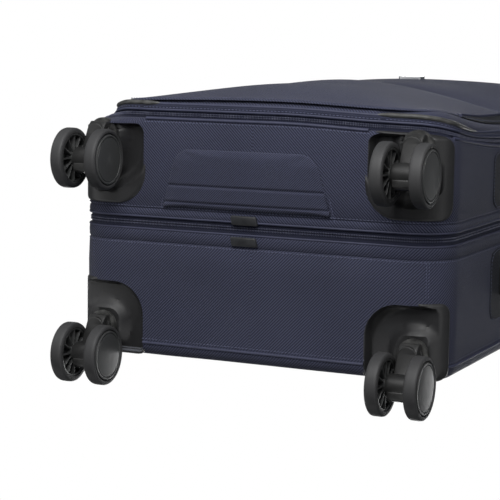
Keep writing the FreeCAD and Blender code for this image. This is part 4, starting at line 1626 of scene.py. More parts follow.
@dataclass
class CaseShell:
    """The fabric of the rear and front halves, with their piping, tabs and side panels."""

    case: Case
    finishes: Finishes
    rows: RowMaker
    wall: float = 4.0 * MM
    puff: float = 0.6 * MM
    band_seam: float = 9.0 * MM
    pocket_seam: float = -21.0 * MM
    step: float = 9.0 * MM

    def rear_half(self, holes: Sequence[Piece]) -> None:
        """The rear half: walls and back in one double skin.

        Args:
            holes: solids to cut out of it, which are used up.
        """
        case = self.case
        end = case.turn_v + case.back_radius * math.pi / 2
        turn = [case.turn_v + (end - case.turn_v) * k / 8 for k in range(9)]
        inner = [(-self.wall, v) for v in reversed(turn)]
        inner += [(-self.wall, 60 * MM), (-self.wall, case.rear_edge)]
        seam = self.band_seam
        outer = in_mm([(-1.8, -2.95), (-0.6, -2.6), (0.0, -1.4), (0.3, 2.5)])
        outer += [(0.0, seam - 1.6 * MM), (-0.9 * MM, seam), (0.0, seam + 1.6 * MM)]
        outer += [(self.puff, 30 * MM), (self.puff, 60 * MM), (self.puff / 2, 88 * MM)]
        outer += [(0.0, v) for v in turn]
        slots = [1] * len(inner) + [0] * (len(outer) - 1)
        piece = bowl("rear_half_fabric", case.wrapped, case.rim.stops(self.step), inner + outer,
                     [self.finishes.navy, self.finishes.lining], slots)
        softened(piece, 0.35 * MM, 60 * MM)
        for hole in holes:
            combined(piece, hole, "DIFFERENCE")
        dressed(piece, Body.CASE, Slot.NAVY, ["rear_shell", "back_panel"])

    def front_half(self, holes: Sequence[Piece]) -> None:
        """The front half: a band of walls, thinned along the main zipper.

        Args:
            holes: solids to cut out of it, which are used up.
        """
        seam = self.pocket_seam / MM
        outer = [(-1.8, -13.05), (-0.6, -13.4), (0.0, -14.6), (0.3, -17.0), (0.0, seam + 1.6),
                 (-0.9, seam), (0.0, seam - 1.6), (0.6, -45.0), (0.6, -66.0), (0.5, -85.0),
                 (0.2, -97.0), (-0.6, -101.2), (-2.9, -101.8), (-2.9, -105.8)]
        inner = [(-4.0, -105.8), (-4.0, -60.0), (-4.0, -13.05)]
        slots = [0] * len(outer) + [1] * len(inner)
        piece = sweep("front_half_fabric", self.case_front, self.case.rim.stops(self.step),
                      in_mm(outer + inner), [self.finishes.navy, self.finishes.lining], slots=slots)
        softened(piece, 0.35 * MM, 60 * MM)
        for hole in holes:
            combined(piece, hole, "DIFFERENCE")
        dressed(piece, Body.FRONT, Slot.NAVY, ["front_shell"])

    def case_front(self, u: float, lift: float, v: float) -> Vector:
        """A point of the front half; v is its depth at the underside."""
        return front_place(self.case, u, lift, v)

    def tube(self, name: str, place: Placer, lift: float, v: float,
             radius: float, material: bpy.types.Material) -> Piece:
        """A round cord all the way round the case."""
        ring = arc(lift, v, radius, 0, 324, 9)
        return sweep(name, place, self.case.rim.stops(self.step), ring, [material], smooth=80)

    def piping(self) -> None:
        """The piped edges of both halves."""
        finish = self.finishes.binding
        self.sewn_cord("rear_band_piping", self.case.wrapped, Body.CASE, -0.5, -2.4, 1.0, finish)
        self.sewn_cord("front_band_piping", self.case_front, Body.FRONT, -0.5, -13.6, 1.0, finish)
        self.broken_cord("front_mouth_piping", self.case_front, Body.FRONT, -0.7, -101.5, 1.5, 0.0)
        self.broken_cord("back_edge_piping", self.case.wrapped, Body.CASE, 0.1, 101.0, 1.3, 96.0)

    def sewn_cord(self, name: str, place: Placer, body: Body,
                  lift: float, v: float, radius: float, material: bpy.types.Material) -> None:
        """One piping cord, with its sizes in millimetres."""
        dressed(self.tube(name, place, lift * MM, v * MM, radius * MM, material), body, Slot.NAVY)

    def broken_cord(self, name: str, place: Placer, body: Body,
                    lift: float, v: float, radius: float, gap: float) -> None:
        """A piping cord that stops at the housings and, with a gap, at the handle; in millimetres.

        Args:
            name: start of the pieces' names.
            place: gives the point at a distance round, a lift and a depth.
            body: the body that it rides on.
            lift: distance out from the surface.
            v: depth.
            radius: its radius.
            gap: half the width of the gap on top.
        """
        parts = broken_ring(place, self.case, lift * MM, v * MM, gap * MM)
        for label, path in zip(("under", "right", "left"), parts):
            piece = cord(f"{name}_{label}", path, radius * MM, self.finishes.binding)
            dressed(piece, body, Slot.NAVY)

    def stitching(self) -> None:
        """The stitched seams of both halves."""
        rear = broken_ring(self.case.wrapped, self.case, 0.1 * MM, 97.5 * MM, 96 * MM)
        front = broken_ring(self.case_front, self.case, 0.1 * MM, -98.6 * MM, 0.0)
        thread = self.finishes.thread
        for name, paths, body in (("rear_edge_stitches", rear, Body.CASE),
                                  ("front_edge_stitches", front, Body.FRONT)):
            dressed(self.rows.make(name, Rows.STITCH, paths, thread, False), body, Slot.NAVY)
        rear = [ring_path(self.case.wrapped, self.case, 0.1 * MM, 10.6 * MM)]
        front = [ring_path(self.case_front, self.case, 0.1 * MM, -22.6 * MM)]
        dressed(self.rows.make("rear_half_stitches", Rows.STITCH, rear, thread, True),
                Body.CASE, Slot.NAVY)
        dressed(self.rows.make("front_half_stitches", Rows.STITCH, front, thread, True),
                Body.FRONT, Slot.NAVY)

    def panel_seams(self) -> None:
        """The seams where the rear underside meets the sides, a double row of stitches each."""
        u = self.case.rim.flat + 20.5 * MM
        paths = []
        for side_u in (u, u - 2.2 * MM, -u, 2.2 * MM - u):
            line = [self.case.wrapped(side_u, self.puff, (11.5 + 3.5 * k) * MM) for k in range(9)]
            paths.append([(place, self.case.rim.at(side_u)[1]) for place in line])
        row = self.rows.make("rear_panel_stitches", Rows.FINE_STITCH, paths, self.finishes.thread, False)
        dressed(row, Body.CASE, Slot.NAVY)

    def side_panels(self) -> None:
        """The dark panels let into both sides."""
        rim = self.case.rim
        low, high = rim.side_u(178 * MM), rim.side_u(rim.high - 125 * MM)
        for name, place, body, v0, v1 in (
            ("rear_side_panel", self.case.wrapped, Body.CASE, 12.5 * MM, 78 * MM),
            ("front_side_panel", self.case_front, Body.FRONT, -95 * MM, -24.5 * MM),
        ):
            patch = Patch(low, high, v0, v1, 14 * MM)
            centre = ((low + high) / 2, (v0 + v1) / 2)
            for side, sign in ((Side.RIGHT, 1), (Side.LEFT, -1)):

                def top(u: float, v: float, patch: Patch = patch, sign: int = sign,
                        place: Callable = place) -> Vector:
                    """The panel's face, rolled down at its edge."""
                    edge = min(1.0, patch.depth_inside(u, v) / (2.5 * MM))
                    return place(sign * u, (0.1 + 1.0 * math.sqrt(max(edge, 0.0))) * MM, v)

                def under(u: float, v: float, sign: int = sign, place: Callable = place) -> Vector:
                    """The panel's back."""
                    return place(sign * u, -0.6 * MM, v)

                piece = patch.mesh(name + "_" + side.value, centre, PANEL_SHARES, 96, top, under,
                                   [self.finishes.charcoal])
                dressed(piece, body, Slot.NAVY)
            self.panel_outline(name, patch, place, body)

    def panel_outline(self, name: str, patch: Patch, place: Callable, body: Body) -> None:
        """Stitches round both panels at one depth.

        Args:
            name: start of the piece's name.
            patch: the right-hand panel's outline.
            place: gives the point at a distance round, a lift and a depth.
            body: the body that it rides on.
        """
        centre = ((patch.u0 + patch.u1) / 2, (patch.v0 + patch.v1) / 2)
        paths = []
        for sign in (-1, 1):
            line = []
            for i in range(120):
                angle = 2 * math.pi * i / 120
                reach = patch.reach(centre, angle) - 2.6 * MM
                u, v = centre[0] + reach * math.cos(angle), centre[1] + reach * math.sin(angle)
                line.append((place(sign * u, 1.15 * MM, v), self.case.rim.at(sign * u)[1]))
            paths.append(line)
        row = self.rows.make(name + "_stitches", Rows.STITCH, paths, self.finishes.thread, True)
        dressed(row, body, Slot.NAVY)

    def pull_tabs(self) -> None:
        """The two bound tabs on the underside, one each side of the expansion zipper."""
        z = self.case.rim.low
        for name, body, front, rear in (
            ("expansion_tab_front", Body.FRONT, -19.5, -11.2),
            ("expansion_tab_rear", Body.CASE, -0.8, 7.4),
        ):
            outline = [Vector((x * MM, y * MM, z - 2.6 * MM)) for x, y in (
                (-20, front), (4.5, front), (6.5, rear), (-18.5, rear))]
            piece = prism(name, outline, Vector((0, 0, 3.6 * MM)), self.finishes.trim)
            dressed(bevelled(piece, 1.4 * MM), body, Slot.PLASTIC)

    def build(self, holes: dict[End, list[Piece]], cup: Piece) -> None:
        """Build everything sewn into the two halves.

        Args:
            holes: the housings' solids at each end.
            cup: the handle cup's solid.
        """
        self.rear_half([*holes[End.REAR], cup])
        self.front_half(holes[End.FRONT])
        self.piping()
        self.stitching()
        self.panel_seams()
        self.side_panels()
        self.pull_tabs()


@dataclass
class Zippers:
    """Both zippers: tapes, coils and the gusset and hinge tape behind them."""

    case: Case
    finishes: Finishes
    rows: RowMaker
    coil_lift: float = -1.3 * MM

    def tape(self, name: str, place: Callable, body: Body, v0: float, v1: float,
             replaces: Sequence[str]) -> None:
        """One tape, as a flat band all the way round; depths in millimetres.

        Args:
            name: the piece's name.
            place: gives the point at a distance round, a lift and a depth.
            body: the body that it rides on.
            v0: depth of one edge.
            v1: depth of the other edge.
            replaces: the CAD nodes that it stands for.
        """
        lifts = (-2.0, -3.6) if body is not Body.LID else (-2.2, -7.0)
        profile = in_mm([(lifts[0], v0), (lifts[0], v1), (lifts[1], v1), (lifts[1], v0)])
        piece = sweep(name, place, self.case.rim.stops(9 * MM), profile, [self.finishes.tape])
        dressed(piece, body, Slot.ZIPPER, replaces)

    def coil(self, name: str, place: Callable, body: Body, v: float) -> None:
        """One half of a zipper's coil.

        Args:
            name: the piece's name.
            place: gives the point at a distance round, a lift and a depth.
            body: the body that it rides on.
            v: depth.
        """
        path = ring_path(place, self.case, self.coil_lift, v * MM)
        row = self.rows.make(name, Rows.COIL, [path], self.finishes.coil, True)
        dressed(row, body, Slot.ZIPPER)

    def front(self, u: float, lift: float, v: float) -> Vector:
        """A point of the front half."""
        return front_place(self.case, u, lift, v)

    def expansion(self) -> None:
        """The expansion zipper's tapes and coil, and the gusset that opens behind them."""
        self.tape("expansion_tape_rear", self.case.wrapped, Body.CASE, -7.8, -2.0,
                  ["expansion_zipper_rear_tape"])
        self.tape("expansion_tape_front", self.front, Body.FRONT, -14.0, -8.2,
                  ["expansion_zipper_front_tape"])
        self.coil("expansion_coil_rear", self.case.wrapped, Body.CASE, -6.9)
        self.coil("expansion_coil_front", self.front, Body.FRONT, -9.1)
        profile = in_mm([(-4.4, 0.9), (-4.4, -3.0), (-5.0, -7.0), (-4.4, -11.0), (-4.4, -14.8),
                         (-5.6, -14.8), (-6.2, -7.0), (-5.6, 0.9)])
        gusset = sweep("expansion_gusset_cloth", self.case.wrapped, self.case.rim.stops(14 * MM),
                       profile, [self.finishes.lining])
        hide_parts("expansion_gusset")
        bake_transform(gusset)

    def main(self) -> None:
        """The main zipper's tapes and coil."""
        self.tape("main_tape_front", self.front, Body.FRONT, -105.85, -101.9,
                  ["main_zipper_body_half"])
        self.tape("main_tape_lid", self.case.following, Body.LID, -4.2, -0.15,
                  ["main_zipper_lid_half"])
        self.coil("main_coil_front", self.front, Body.FRONT, -104.9)
        self.coil("main_coil_lid", self.case.following, Body.LID, -1.1)

    def hinge(self) -> None:
        """The strip of cloth that the lid turns on."""
        low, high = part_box("lid_hinge_tape")
        pad = 2 * MM
        skin = Skin()
        grid = []
        levels = [low.z + (high.z - low.z) * k / 30 for k in range(31)]
        depths = [low.y + pad + (high.y - low.y - 2 * pad) * k / 12 for k in range(13)]
        for x in (low.x, high.x):
            grid.append([[skin.point(Vector((x, y, z))) for y in depths] for z in levels])
        for sheet in grid:
            for i in range(30):
                for j in range(12):
                    corners = [(i, j), (i + 1, j), (i + 1, j + 1), (i, j + 1)]
                    skin.face([sheet[a][b] for a, b in corners],
                              [(depths[b], levels[a]) for a, b in corners])
        edge = [(i, 0) for i in range(31)] + [(30, j) for j in range(1, 13)]
        edge += [(i, 12) for i in range(29, -1, -1)] + [(0, j) for j in range(11, 0, -1)]
        for (a, b), (c, d) in zip(edge, edge[1:] + edge[:1]):
            skin.face((grid[0][a][b], grid[0][c][d], grid[1][c][d], grid[1][a][b]),
                      ((depths[b], levels[a]), (depths[d], levels[c])) * 2)
        piece = skin.build("lid_hinge_cloth", [self.finishes.tape])
        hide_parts("lid_hinge_tape")
        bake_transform(piece)

    def build(self) -> None:
        """Build both zippers."""
        self.expansion()
        self.main()
        self.hinge()


@dataclass
class Lid:
    """The lid: its tray, zipper band, corner guards, pockets and badge."""

    case: Case
    finishes: Finishes
    rows: RowMaker
    inset: float = 7.0 * MM
    edge: float = 10.0 * MM
    foot_rise: float = 1.2 * MM
    lower_rise: float = 13.2 * MM
    upper_rise: float = 9 * MM
    side_swell: float = 90 * MM
    upper_dark: float = 148 * MM

    def settled(self, point: Vector, v: float) -> Vector:
        """A point of the lid, whose sides follow the zipper's bow while its middle stays flat.

        Args:
            point: a point on the case's outline.
            v: its depth at the underside.

        Returns:
            The point on the lid.
        """
        start = self.case.seam.y - 5 * MM
        share = min(1.0, max(0.0, (v - start) / (self.case.seam.y - start)))
        rim, seam = self.case.rim, self.case.seam
        middle = seam.sweep * ramp(min(point.z - rim.low, rim.high - point.z), 0.0, seam.height)
        back = seam.lag(point.z) * share + (1 - share) * middle * ramp(abs(point.x), 0.0, 170 * MM)
        back += 3 * MM * (1 - share) * ramp(-point.x, 0.0, 170 * MM)
        return drawn_in(Vector((point.x, v + back, point.z)))

    def lid_place(self, u: float, lift: float, v: float) -> Vector:
        """A point of the lid; v is its depth at the underside."""
        point, out = self.case.rim.at(u)
        return self.settled(point + out * lift, v)

    def tray(self) -> None:
        """The lid's walls and rounded edge, and its padded face."""
        low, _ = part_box("lid_shell")
        face = low.y
        centre = (-(self.inset + self.edge), face + self.edge)
        outer = arc(*centre, self.edge, 360, 270, 9)
        inner = arc(*centre, 6 * MM, 270, 360, 6)
        mouth = self.case.seam.y - 0.3 * MM
        profile = [(-self.inset, mouth)] + outer + inner + [(-self.inset - 4 * MM, mouth)]
        slots = [0] * (len(outer) + 1) + [1] * (len(inner) + 1)
        piece = sweep("lid_fabric", self.lid_place, self.case.rim.stops(9 * MM), profile,
                      [self.finishes.navy, self.finishes.lining], slots=slots)
        dressed(piece, Body.LID, Slot.NAVY, ["lid_shell"])
        rim = self.case.rim
        reach = self.inset + self.edge - 1.5 * MM
        plate = Patch(-rim.half_width + reach, rim.half_width - reach, rim.low + reach,
                      rim.high - reach, 20 * MM)
        middle = (0.0, (rim.low + rim.high) / 2)
        piece = plate.mesh("lid_face_fabric", middle, PILLOW_SHARES, 96,
                           lambda x, z: self.settled(Vector((x, 0, z)), face + 0.3 * MM),
                           lambda x, z: self.settled(Vector((x, 0, z)), face + 4 * MM),
                           [self.finishes.navy_front, self.finishes.lining])
        dressed(piece, Body.LID, Slot.NAVY, ["lid_shell"])

    def band(self) -> None:
        """The band between the zipper and the guards, with a cord along each edge."""
        stops = self.case.rim.stops(9 * MM)
        profile = in_mm([(-7.4, -4.0), (-2.6, -4.0), (-1.6, -4.6), (-1.3, -5.8), (-1.7, -7.4),
                         (-3.2, -8.6), (-7.4, -9.4)])
        piece = sweep("lid_zipper_band", self.case.following, stops, profile, [self.finishes.tape])
        dressed(piece, Body.LID, Slot.NAVY)
        for name, lift, v, radius in (("lid_inner_piping", -1.5, -4.1, 1.2),
                                      ("lid_outer_piping", -4.2, -9.2, 1.5)):
            ring = arc(lift * MM, v * MM, radius * MM, 0, 324, 9)
            edging = sweep(name, self.case.following, stops, ring, [self.finishes.binding], smooth=80)
            dressed(edging, Body.LID, Slot.NAVY)
        path = ring_path(self.case.following, self.case, -1.3 * MM, -6.2 * MM)
        row = self.rows.make("lid_band_stitches", Rows.STITCH, [path], self.finishes.thread, True)
        dressed(row, Body.LID, Slot.NAVY)

    def guards(self) -> None:
        """The rubber strips round the lid's bottom corners."""
        rim = self.case.rim
        stop = rim.side_u(142 * MM)
        count = 48
        for side, sign, start in ((Side.RIGHT, 1, 112.5 * MM), (Side.LEFT, -1, 92 * MM)):
            skin = Skin()
            rings = []
            for i in range(count + 1):
                share = i / count
                taper = min(1.0, math.sqrt(share * 12 + 0.02), math.sqrt((1 - share) * 3 + 0.02))
                u = sign * (start + (stop - start) * share)
                middle = (-3.6 * MM, -9.8 * MM)
                ring = [(middle[0] + 2.4 * MM * taper * math.cos(a),
                         middle[1] + 2.3 * MM * taper * math.sin(a))
                        for a in [2 * math.pi * k / 14 for k in range(14)]]
                rings.append([skin.point(self.case.following(u, lift, v)) for lift, v in ring])
            for i in range(count):
                for j in range(14):
                    k = (j + 1) % 14
                    skin.face((rings[i][j], rings[i + 1][j], rings[i + 1][k], rings[i][k]),
                              [(i * MM, j * MM)] * 4)
            skin.face(rings[0], [(0.0, 0.0)] * 14)
            skin.face(rings[-1], [(0.0, 0.0)] * 14)
            piece = skin.build("corner_guard_" + side.value, [self.finishes.guard], smooth=60)
            dressed(piece, Body.LID, Slot.PLASTIC, ["corner_guards"] if sign > 0 else ())

    def crown(self, which: str, patch: Patch, x: float, z: float) -> float:
        """How far a pocket stands out from the lid at a place.

        Args:
            which: "lower" or "upper".
            patch: the pocket's outline.
            x: place across the lid.
            z: the height.

        Returns:
            The distance.
        """
        foot = self.foot_rise * ramp(patch.depth_inside(x, z), 0.0, 2.5 * MM)
        side, up, down = patch.u1 - abs(x), z - patch.v0, patch.v1 - z
        if which == "lower":
            share = swell(up, 160 * MM) * (0.6 + 0.4 * swell(down, 70 * MM))
            return foot + self.lower_rise * swell(side, self.side_swell) * share
        share = swell(up, 50 * MM) * (0.3 + 0.7 * swell(down, 50 * MM))
        return foot + self.upper_rise * swell(side, self.side_swell) * share

    def pocket(self, which: str, patch: Patch) -> None:
        """One filled pocket, swollen in a short cloth simulation.

        Args:
            which: "lower" or "upper".
            patch: its outline on the lid, in x and z.
        """
        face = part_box("lid_shell")[0].y
        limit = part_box(which + "_pocket")[0].y

        def top(x: float, z: float) -> Vector:
            """The pocket's front."""
            return self.settled(Vector((x, 0, z)), face) - Vector((0, self.crown(which, patch, x, z), 0))

        def under(x: float, z: float) -> Vector:
            """The pocket's back, just inside the lid's face."""
            return self.settled(Vector((x, 0, z)), face) + Vector((0, 0.6 * MM, 0))

        middle = (0.0, (patch.v0 + patch.v1) / 2)
        piece = patch.mesh(which + "_pocket_fabric", middle, PILLOW_SHARES, 96, top, under,
                           [self.finishes.navy_front, self.finishes.charcoal_shaded_front])
        inflated(piece, 0.0, 1.2 * MM,
                 lambda p: 1.0 if patch.depth_inside(p.x, p.z) < 22 * MM else 0.0,
                 lambda p: Vector((p.x, max(p.y, limit), p.z)))
        # Faces past the swoop take the dark side cloth, darkened further as painted shade of the recess.
        for face_part in piece.data.polygons:
            x, _, z = face_part.center
            face_part.material_index = int(abs(x) > self.swoop(which, z))
        dressed(piece, Body.LID, Slot.NAVY, [which + "_pocket"])
        self.pocket_trim(which, patch, top)

    def swoop(self, which: str, z: float) -> float:
        """Where the navy ends and the dark side, its cloth darkened as painted shade, starts at a height.

        Args:
            which: "lower" or "upper".
            z: the height.

        Returns:
            The distance from the middle.
        """
        if which == "upper":
            return self.upper_dark
        return (172 - 24 * ramp(z, 92 * MM, 172 * MM)) * MM

    def pocket_trim(self, which: str, patch: Patch, top: Surface) -> None:
        """The cords beside the dark sides and the stitches round a pocket's foot.

        Args:
            which: "lower" or "upper".
            patch: the pocket's outline.
            top: gives the pocket's face over a place on the lid.
        """
        forward = Vector((0, -1, 0))
        start = patch.v0 + (60 * MM if which == "lower" else 4 * MM)
        for label, sign in (("left", -1), ("right", 1)):
            line = []
            for k in range(41):
                z = start + (patch.v1 - 5 * MM - start) * k / 40
                line.append((top(sign * self.swoop(which, z), z) + forward * 0.6 * MM, forward))
            edging = cord(f"{which}_pocket_piping_{label}", line, 1.3 * MM, self.finishes.binding)
            dressed(edging, Body.LID, Slot.NAVY)
        middle = (0.0, (patch.v0 + patch.v1) / 2)
        path = []
        for i in range(160):
            angle = 2 * math.pi * i / 160
            reach = patch.reach(middle, angle) - 4 * MM
            x, z = middle[0] + reach * math.cos(angle), middle[1] + reach * math.sin(angle)
            path.append((top(x, z), forward))
        row = self.rows.make(which + "_pocket_stitches", Rows.STITCH, [path], self.finishes.thread, True)
        dressed(row, Body.LID, Slot.NAVY)

    def pocket_zip(self, z: float) -> None:
        """The zipper across the lid between the two pockets.

        Args:
            z: its height.
        """
        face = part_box("lid_shell")[0].y
        stops = [(-140 + 280 * k / 56) * MM for k in range(57)]

        def place(x: float, lift: float, up: float) -> Vector:
            """A point on or over the lid's face."""
            return self.settled(Vector((x, 0, z + up)), face) - Vector((0, lift, 0))

        profile = in_mm([(0.2, -5.0), (4.0, -4.0), (4.4, 0.0), (4.0, 4.0), (0.2, 5.0)])
        piece = sweep("pocket_zip_tape", place, stops, profile, [self.finishes.tape], whole=False)
        dressed(piece, Body.LID, Slot.NAVY)
        path = [(place(x, 4.5 * MM, 0.0), Vector((0, -1, 0))) for x in stops]
        row = self.rows.make("pocket_zip_coil", Rows.COIL, [path], self.finishes.coil, False)
        dressed(row, Body.LID, Slot.ZIPPER)

    def badge(self) -> None:
        """A blank plate on the upper pocket."""
        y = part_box("lid_shell")[0].y - 11.6 * MM
        piece = block("blank_badge", Vector((-13 * MM, y - 1.6 * MM, 443 * MM)),
                      Vector((13 * MM, y + 3.0 * MM, 459 * MM)), 1, 4 * MM, 0.5 * MM,
                      self.finishes.silver)
        dressed(piece, Body.LID, Slot.DARK_METAL)

    def build(self) -> None:
        """Build the lid."""
        self.tray()
        self.band()
        self.guards()
        self.pocket("lower", Patch(-165 * MM, 165 * MM, 60.5 * MM, 322 * MM, 26 * MM))
        self.pocket("upper", Patch(-160 * MM, 160 * MM, 332 * MM, 521 * MM, 24 * MM))
        self.pocket_zip(327 * MM)
        self.badge()


PILLOW_SHARES = (0.1, 0.2, 0.3, 0.4, 0.5, 0.6, 0.7, 0.78, 0.84, 0.89, 0.93, 0.96, 0.98, 0.992, 1.0)


def swell(distance: float, full: float) -> float:
    """A quarter sine: 0 at an edge and 1 from `full` inwards."""
    return math.sin(math.pi / 2 * min(1.0, max(0.0, distance / full)))


def cord(name: str, path: Sequence[tuple[Vector, Vector]], radius: float,
         material: bpy.types.Material) -> Piece:
    """A round cord along an open path.

    Args:
        name: the piece's name.
        path: its points and the directions out of the surface there.
        radius: the cord's radius.
        material: its finish.

    Returns:
        The piece.
    """
    skin = Skin()
    rings = []
    for i, (place, out) in enumerate(path):
        ahead = path[min(i + 1, len(path) - 1)][0] - path[max(i - 1, 0)][0]
        side = ahead.cross(out).normalized()
        rings.append([skin.point(place + (side * math.cos(a) + out * math.sin(a)) * radius)
                      for a in [2 * math.pi * k / 10 for k in range(10)]])
    for i in range(len(path) - 1):
        for j in range(10):
            k = (j + 1) % 10
            skin.face((rings[i][j], rings[i + 1][j], rings[i + 1][k], rings[i][k]), [(i * MM, j * MM)] * 4)
    skin.face(rings[0], [(0.0, 0.0)] * 10)
    skin.face(rings[-1], [(0.0, 0.0)] * 10)
    return skin.build(name, [material], smooth=60)


@dataclass
class BasePad:
    """The padded grab pocket on the underside."""

    finishes: Finishes
    rows: RowMaker
    outline: tuple = ((-88.0, -22.5), (76.0, -22.5), (60.0, -77.0), (-75.0, -77.0))
    corner: float = 17.0
    creases: tuple = (-28.5, -43.5)

    def shape(self, shrink: float, z: float) -> list[Vector]:
        """The pad's outline, with its two front corners rounded; sizes in millimetres.

        Args:
            shrink: how far inside the full outline it runs.
            z: its height.

        Returns:
            Its points.
        """
        (ax, ay), (bx, by), (cx, cy), (dx, dy) = self.outline
        path = [(ax + shrink, ay - shrink), (bx - shrink, by - shrink)]
        for (px, py), (qx, qy), (rx, ry) in (
            ((bx, by), (cx, cy), (dx, dy)), ((cx, cy), (dx, dy), (ax, ay)),
        ):
            corner = Vector((qx, qy))
            back = (Vector((px, py)) - corner).normalized() * self.corner
            on = (Vector((rx, ry)) - corner).normalized() * self.corner
            for k in range(9):
                t = k / 8
                place = corner + back * (1 - t) ** 2 + on * t ** 2
                inward = -Vector((place.x + 8, place.y + 50)).normalized() * shrink
                path.append((place.x + inward.x, place.y + inward.y))
        return [Vector((x * MM, y * MM, z)) for x, y in path]

    def build(self) -> None:
        """Build the pad, its creases and the stitches round it."""
        low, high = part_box("base_pad")
        start = self.shape(0.8, high.z + 0.4 * MM)
        piece = prism("base_grab_pad", start, Vector((0, 0, -3.2 * MM)), self.finishes.navy_base)

        def keep(p: Vector) -> Vector:
            """No lower than the pad's node."""
            return Vector((p.x, p.y, max(p.z, low.z - 0.6 * MM)))

        inflated(piece, 1.8 * MM, 1.6 * MM, lambda p: 1.0 if p.z > high.z - 0.6 * MM else 0.0, keep)
        for vertex in piece.data.vertices:
            fall = sum(math.exp(-((vertex.co.y / MM - y) / 0.9) ** 2) for y in self.creases)
            if vertex.co.z < high.z:
                vertex.co.z += min(1.5 * MM * fall, high.z - vertex.co.z)
        dressed(piece, Body.FRONT, Slot.NAVY, ["base_pad"])
        down = Vector((0, 0, -1))
        path = [(p, down) for p in self.shape(-1.9, high.z - 0.2 * MM)]
        row = self.rows.make("base_pad_stitches", Rows.FINE_STITCH, [path[1:] + path[:1]],
                             self.finishes.thread, False)
        dressed(row, Body.FRONT, Slot.NAVY)
        welt = [(p, down) for p in self.shape(-0.4, high.z)]
        cord = self.rows.make("base_pad_welt", Rows.STITCH, [welt[1:] + welt[:1]],
                              self.finishes.binding, False)
        dressed(cord, Body.FRONT, Slot.NAVY)


# ---------------------------------------------------------------- wheel housings and casters


@dataclass
class WheelHousing:
    """A moulded corner: a smooth bowl over the wheels, with a flange round the case's corner."""

    case: Case
    finishes: Finishes
    end: End
    side: Side
    proud: float = 2.0 * MM
    thick: float = 2.4 * MM
    shares: tuple = (0.12, 0.25, 0.36, 0.45, 0.53, 0.6, 0.66, 0.71, 0.76, 0.8, 0.84, 0.875,
                     0.905, 0.93, 0.95, 0.965, 0.978, 0.989, 1.0)
    face_round: float = 3.0 * MM
    sunk: float = 0.5 * MM
    blend: float = 0.5 * MM

    def __post_init__(self) -> None:
        """Find the swivel and the outline."""
        low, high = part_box(f"{self.end.value}_swivel_collars")
        self.swivel = ((high.x - low.x) / 2 - (high.y - low.y) / 2, (low.y + high.y) / 2)
        self.roof = high.z
        start, stop = 104.8 * MM, 185 * MM
        if self.end is End.REAR:
            self.patch = Patch(start, stop, 45 * MM, self.case.turn_v + 14 * MM, 32 * MM, 11 * MM, (-1, -1))
        else:
            self.patch = Patch(start, stop, -101.9 * MM, -24 * MM, 30 * MM, 13 * MM, (-1, 1))

    @property
    def name(self) -> str:
        """Which corner this is."""
        return f"{self.end.value}_{self.side.value}"

    def place(self, u: float, lift: float, v: float) -> Vector:
        """A point over the right-hand corner.

        Args:
            u: distance round the outline from the middle of the underside.
            lift: distance out from the surface.
            v: depth.

        Returns:
            The point.
        """
        if self.end is End.REAR:
            return self.case.wrapped(u, lift, v)
        return front_place(self.case, u, lift, v)

    def sided(self, point: Vector) -> Vector:
        """The same point on this housing's side.

        Args:
            point: a point over the right-hand corner.

        Returns:
            The point on this side.
        """
        if self.side is Side.RIGHT:
            return point
        mirrored = Vector((-point.x, point.y, point.z))
        return drawn_in(mirrored) if self.end is End.FRONT else mirrored

    def bowl_height(self, point: Vector, inside: float) -> float:
        """Height of the bowl over a place, with a collar left standing round the swivel.

        Args:
            point: the place.
            inside: how far it is inside the outline.

        Returns:
            The height.
        """
        r = math.hypot(abs(point.x) - self.swivel[0], point.y - self.swivel[1])
        height = self.roof + 5.5 * MM * ramp(r, 18 * MM, 26 * MM) - 17 * MM * ramp(r, 38 * MM, 60 * MM)
        height -= 2.0 * MM * math.exp(-((r / MM - 16.0) / 1.8) ** 2)
        lip = self.roof - 3.9 * MM + 10 * MM * ramp(inside, 1.6 * MM, 7 * MM)
        return min(height, lip)

    def outer(self, u: float, v: float) -> Vector:
        """The housing's face.

        Args:
            u: distance round the outline from the middle of the underside.
            v: depth.

        Returns:
            The point.
        """
        inside = self.patch.depth_inside(u, v)
        round_off = min(1.0, max(0.0, inside / self.face_round))
        lift = -self.sunk + (self.proud + self.sunk) * math.sqrt(1 - (1 - round_off) ** 2)
        point = self.sided(self.place(u, lift, v))
        point.z = eased_max(point.z, self.bowl_height(point, inside), self.blend)
        return point

    def inner(self, u: float, v: float) -> Vector:
        """The housing's back.

        Args:
            u: distance round the outline from the middle of the underside.
            v: depth.

        Returns:
            The point.
        """
        inside = self.patch.depth_inside(u, v)
        point = self.sided(self.place(u, -self.thick, v))
        point.z = eased_max(point.z, self.bowl_height(point, inside) + self.thick, self.blend)
        return point

    def build(self) -> None:
        """Build the housing."""
        centre = (self.case.rim.flat + 8 * MM, self.swivel[1])
        piece = self.patch.mesh("housing_" + self.name, centre, self.shares, 128, self.outer,
                                self.inner, [self.finishes.housing])
        body = Body.CASE if self.end is End.REAR else Body.FRONT
        dressed(piece, body, Slot.PLASTIC, ["wheel_housing_" + self.name])

    def hole(self) -> Piece:
        """The solid that this housing takes out of the fabric.

        Returns:
            The solid.
        """
        p = self.patch
        margin = 2.2 * MM
        hole = Patch(p.u0 + margin, p.u1 - margin, p.v0 + margin, p.v1 - margin, p.corner - margin,
                     p.tight - margin, p.wide)
        centre = (self.case.rim.flat + 8 * MM, self.swivel[1])
        return hole.mesh("hole_" + self.name, centre, (0.35, 0.65, 0.85, 1.0), 72,
                         lambda u, v: self.sided(self.place(u, 6 * MM, v)),
                         lambda u, v: self.sided(self.place(u, -8 * MM, v)),
                         [self.finishes.lining])


def eased_max(first: float, second: float, ease: float) -> float:
    """The greater of two heights, rounded where they cross."""
    gap = first - second
    return 0.5 * (first + second + math.sqrt(gap * gap + ease * ease))


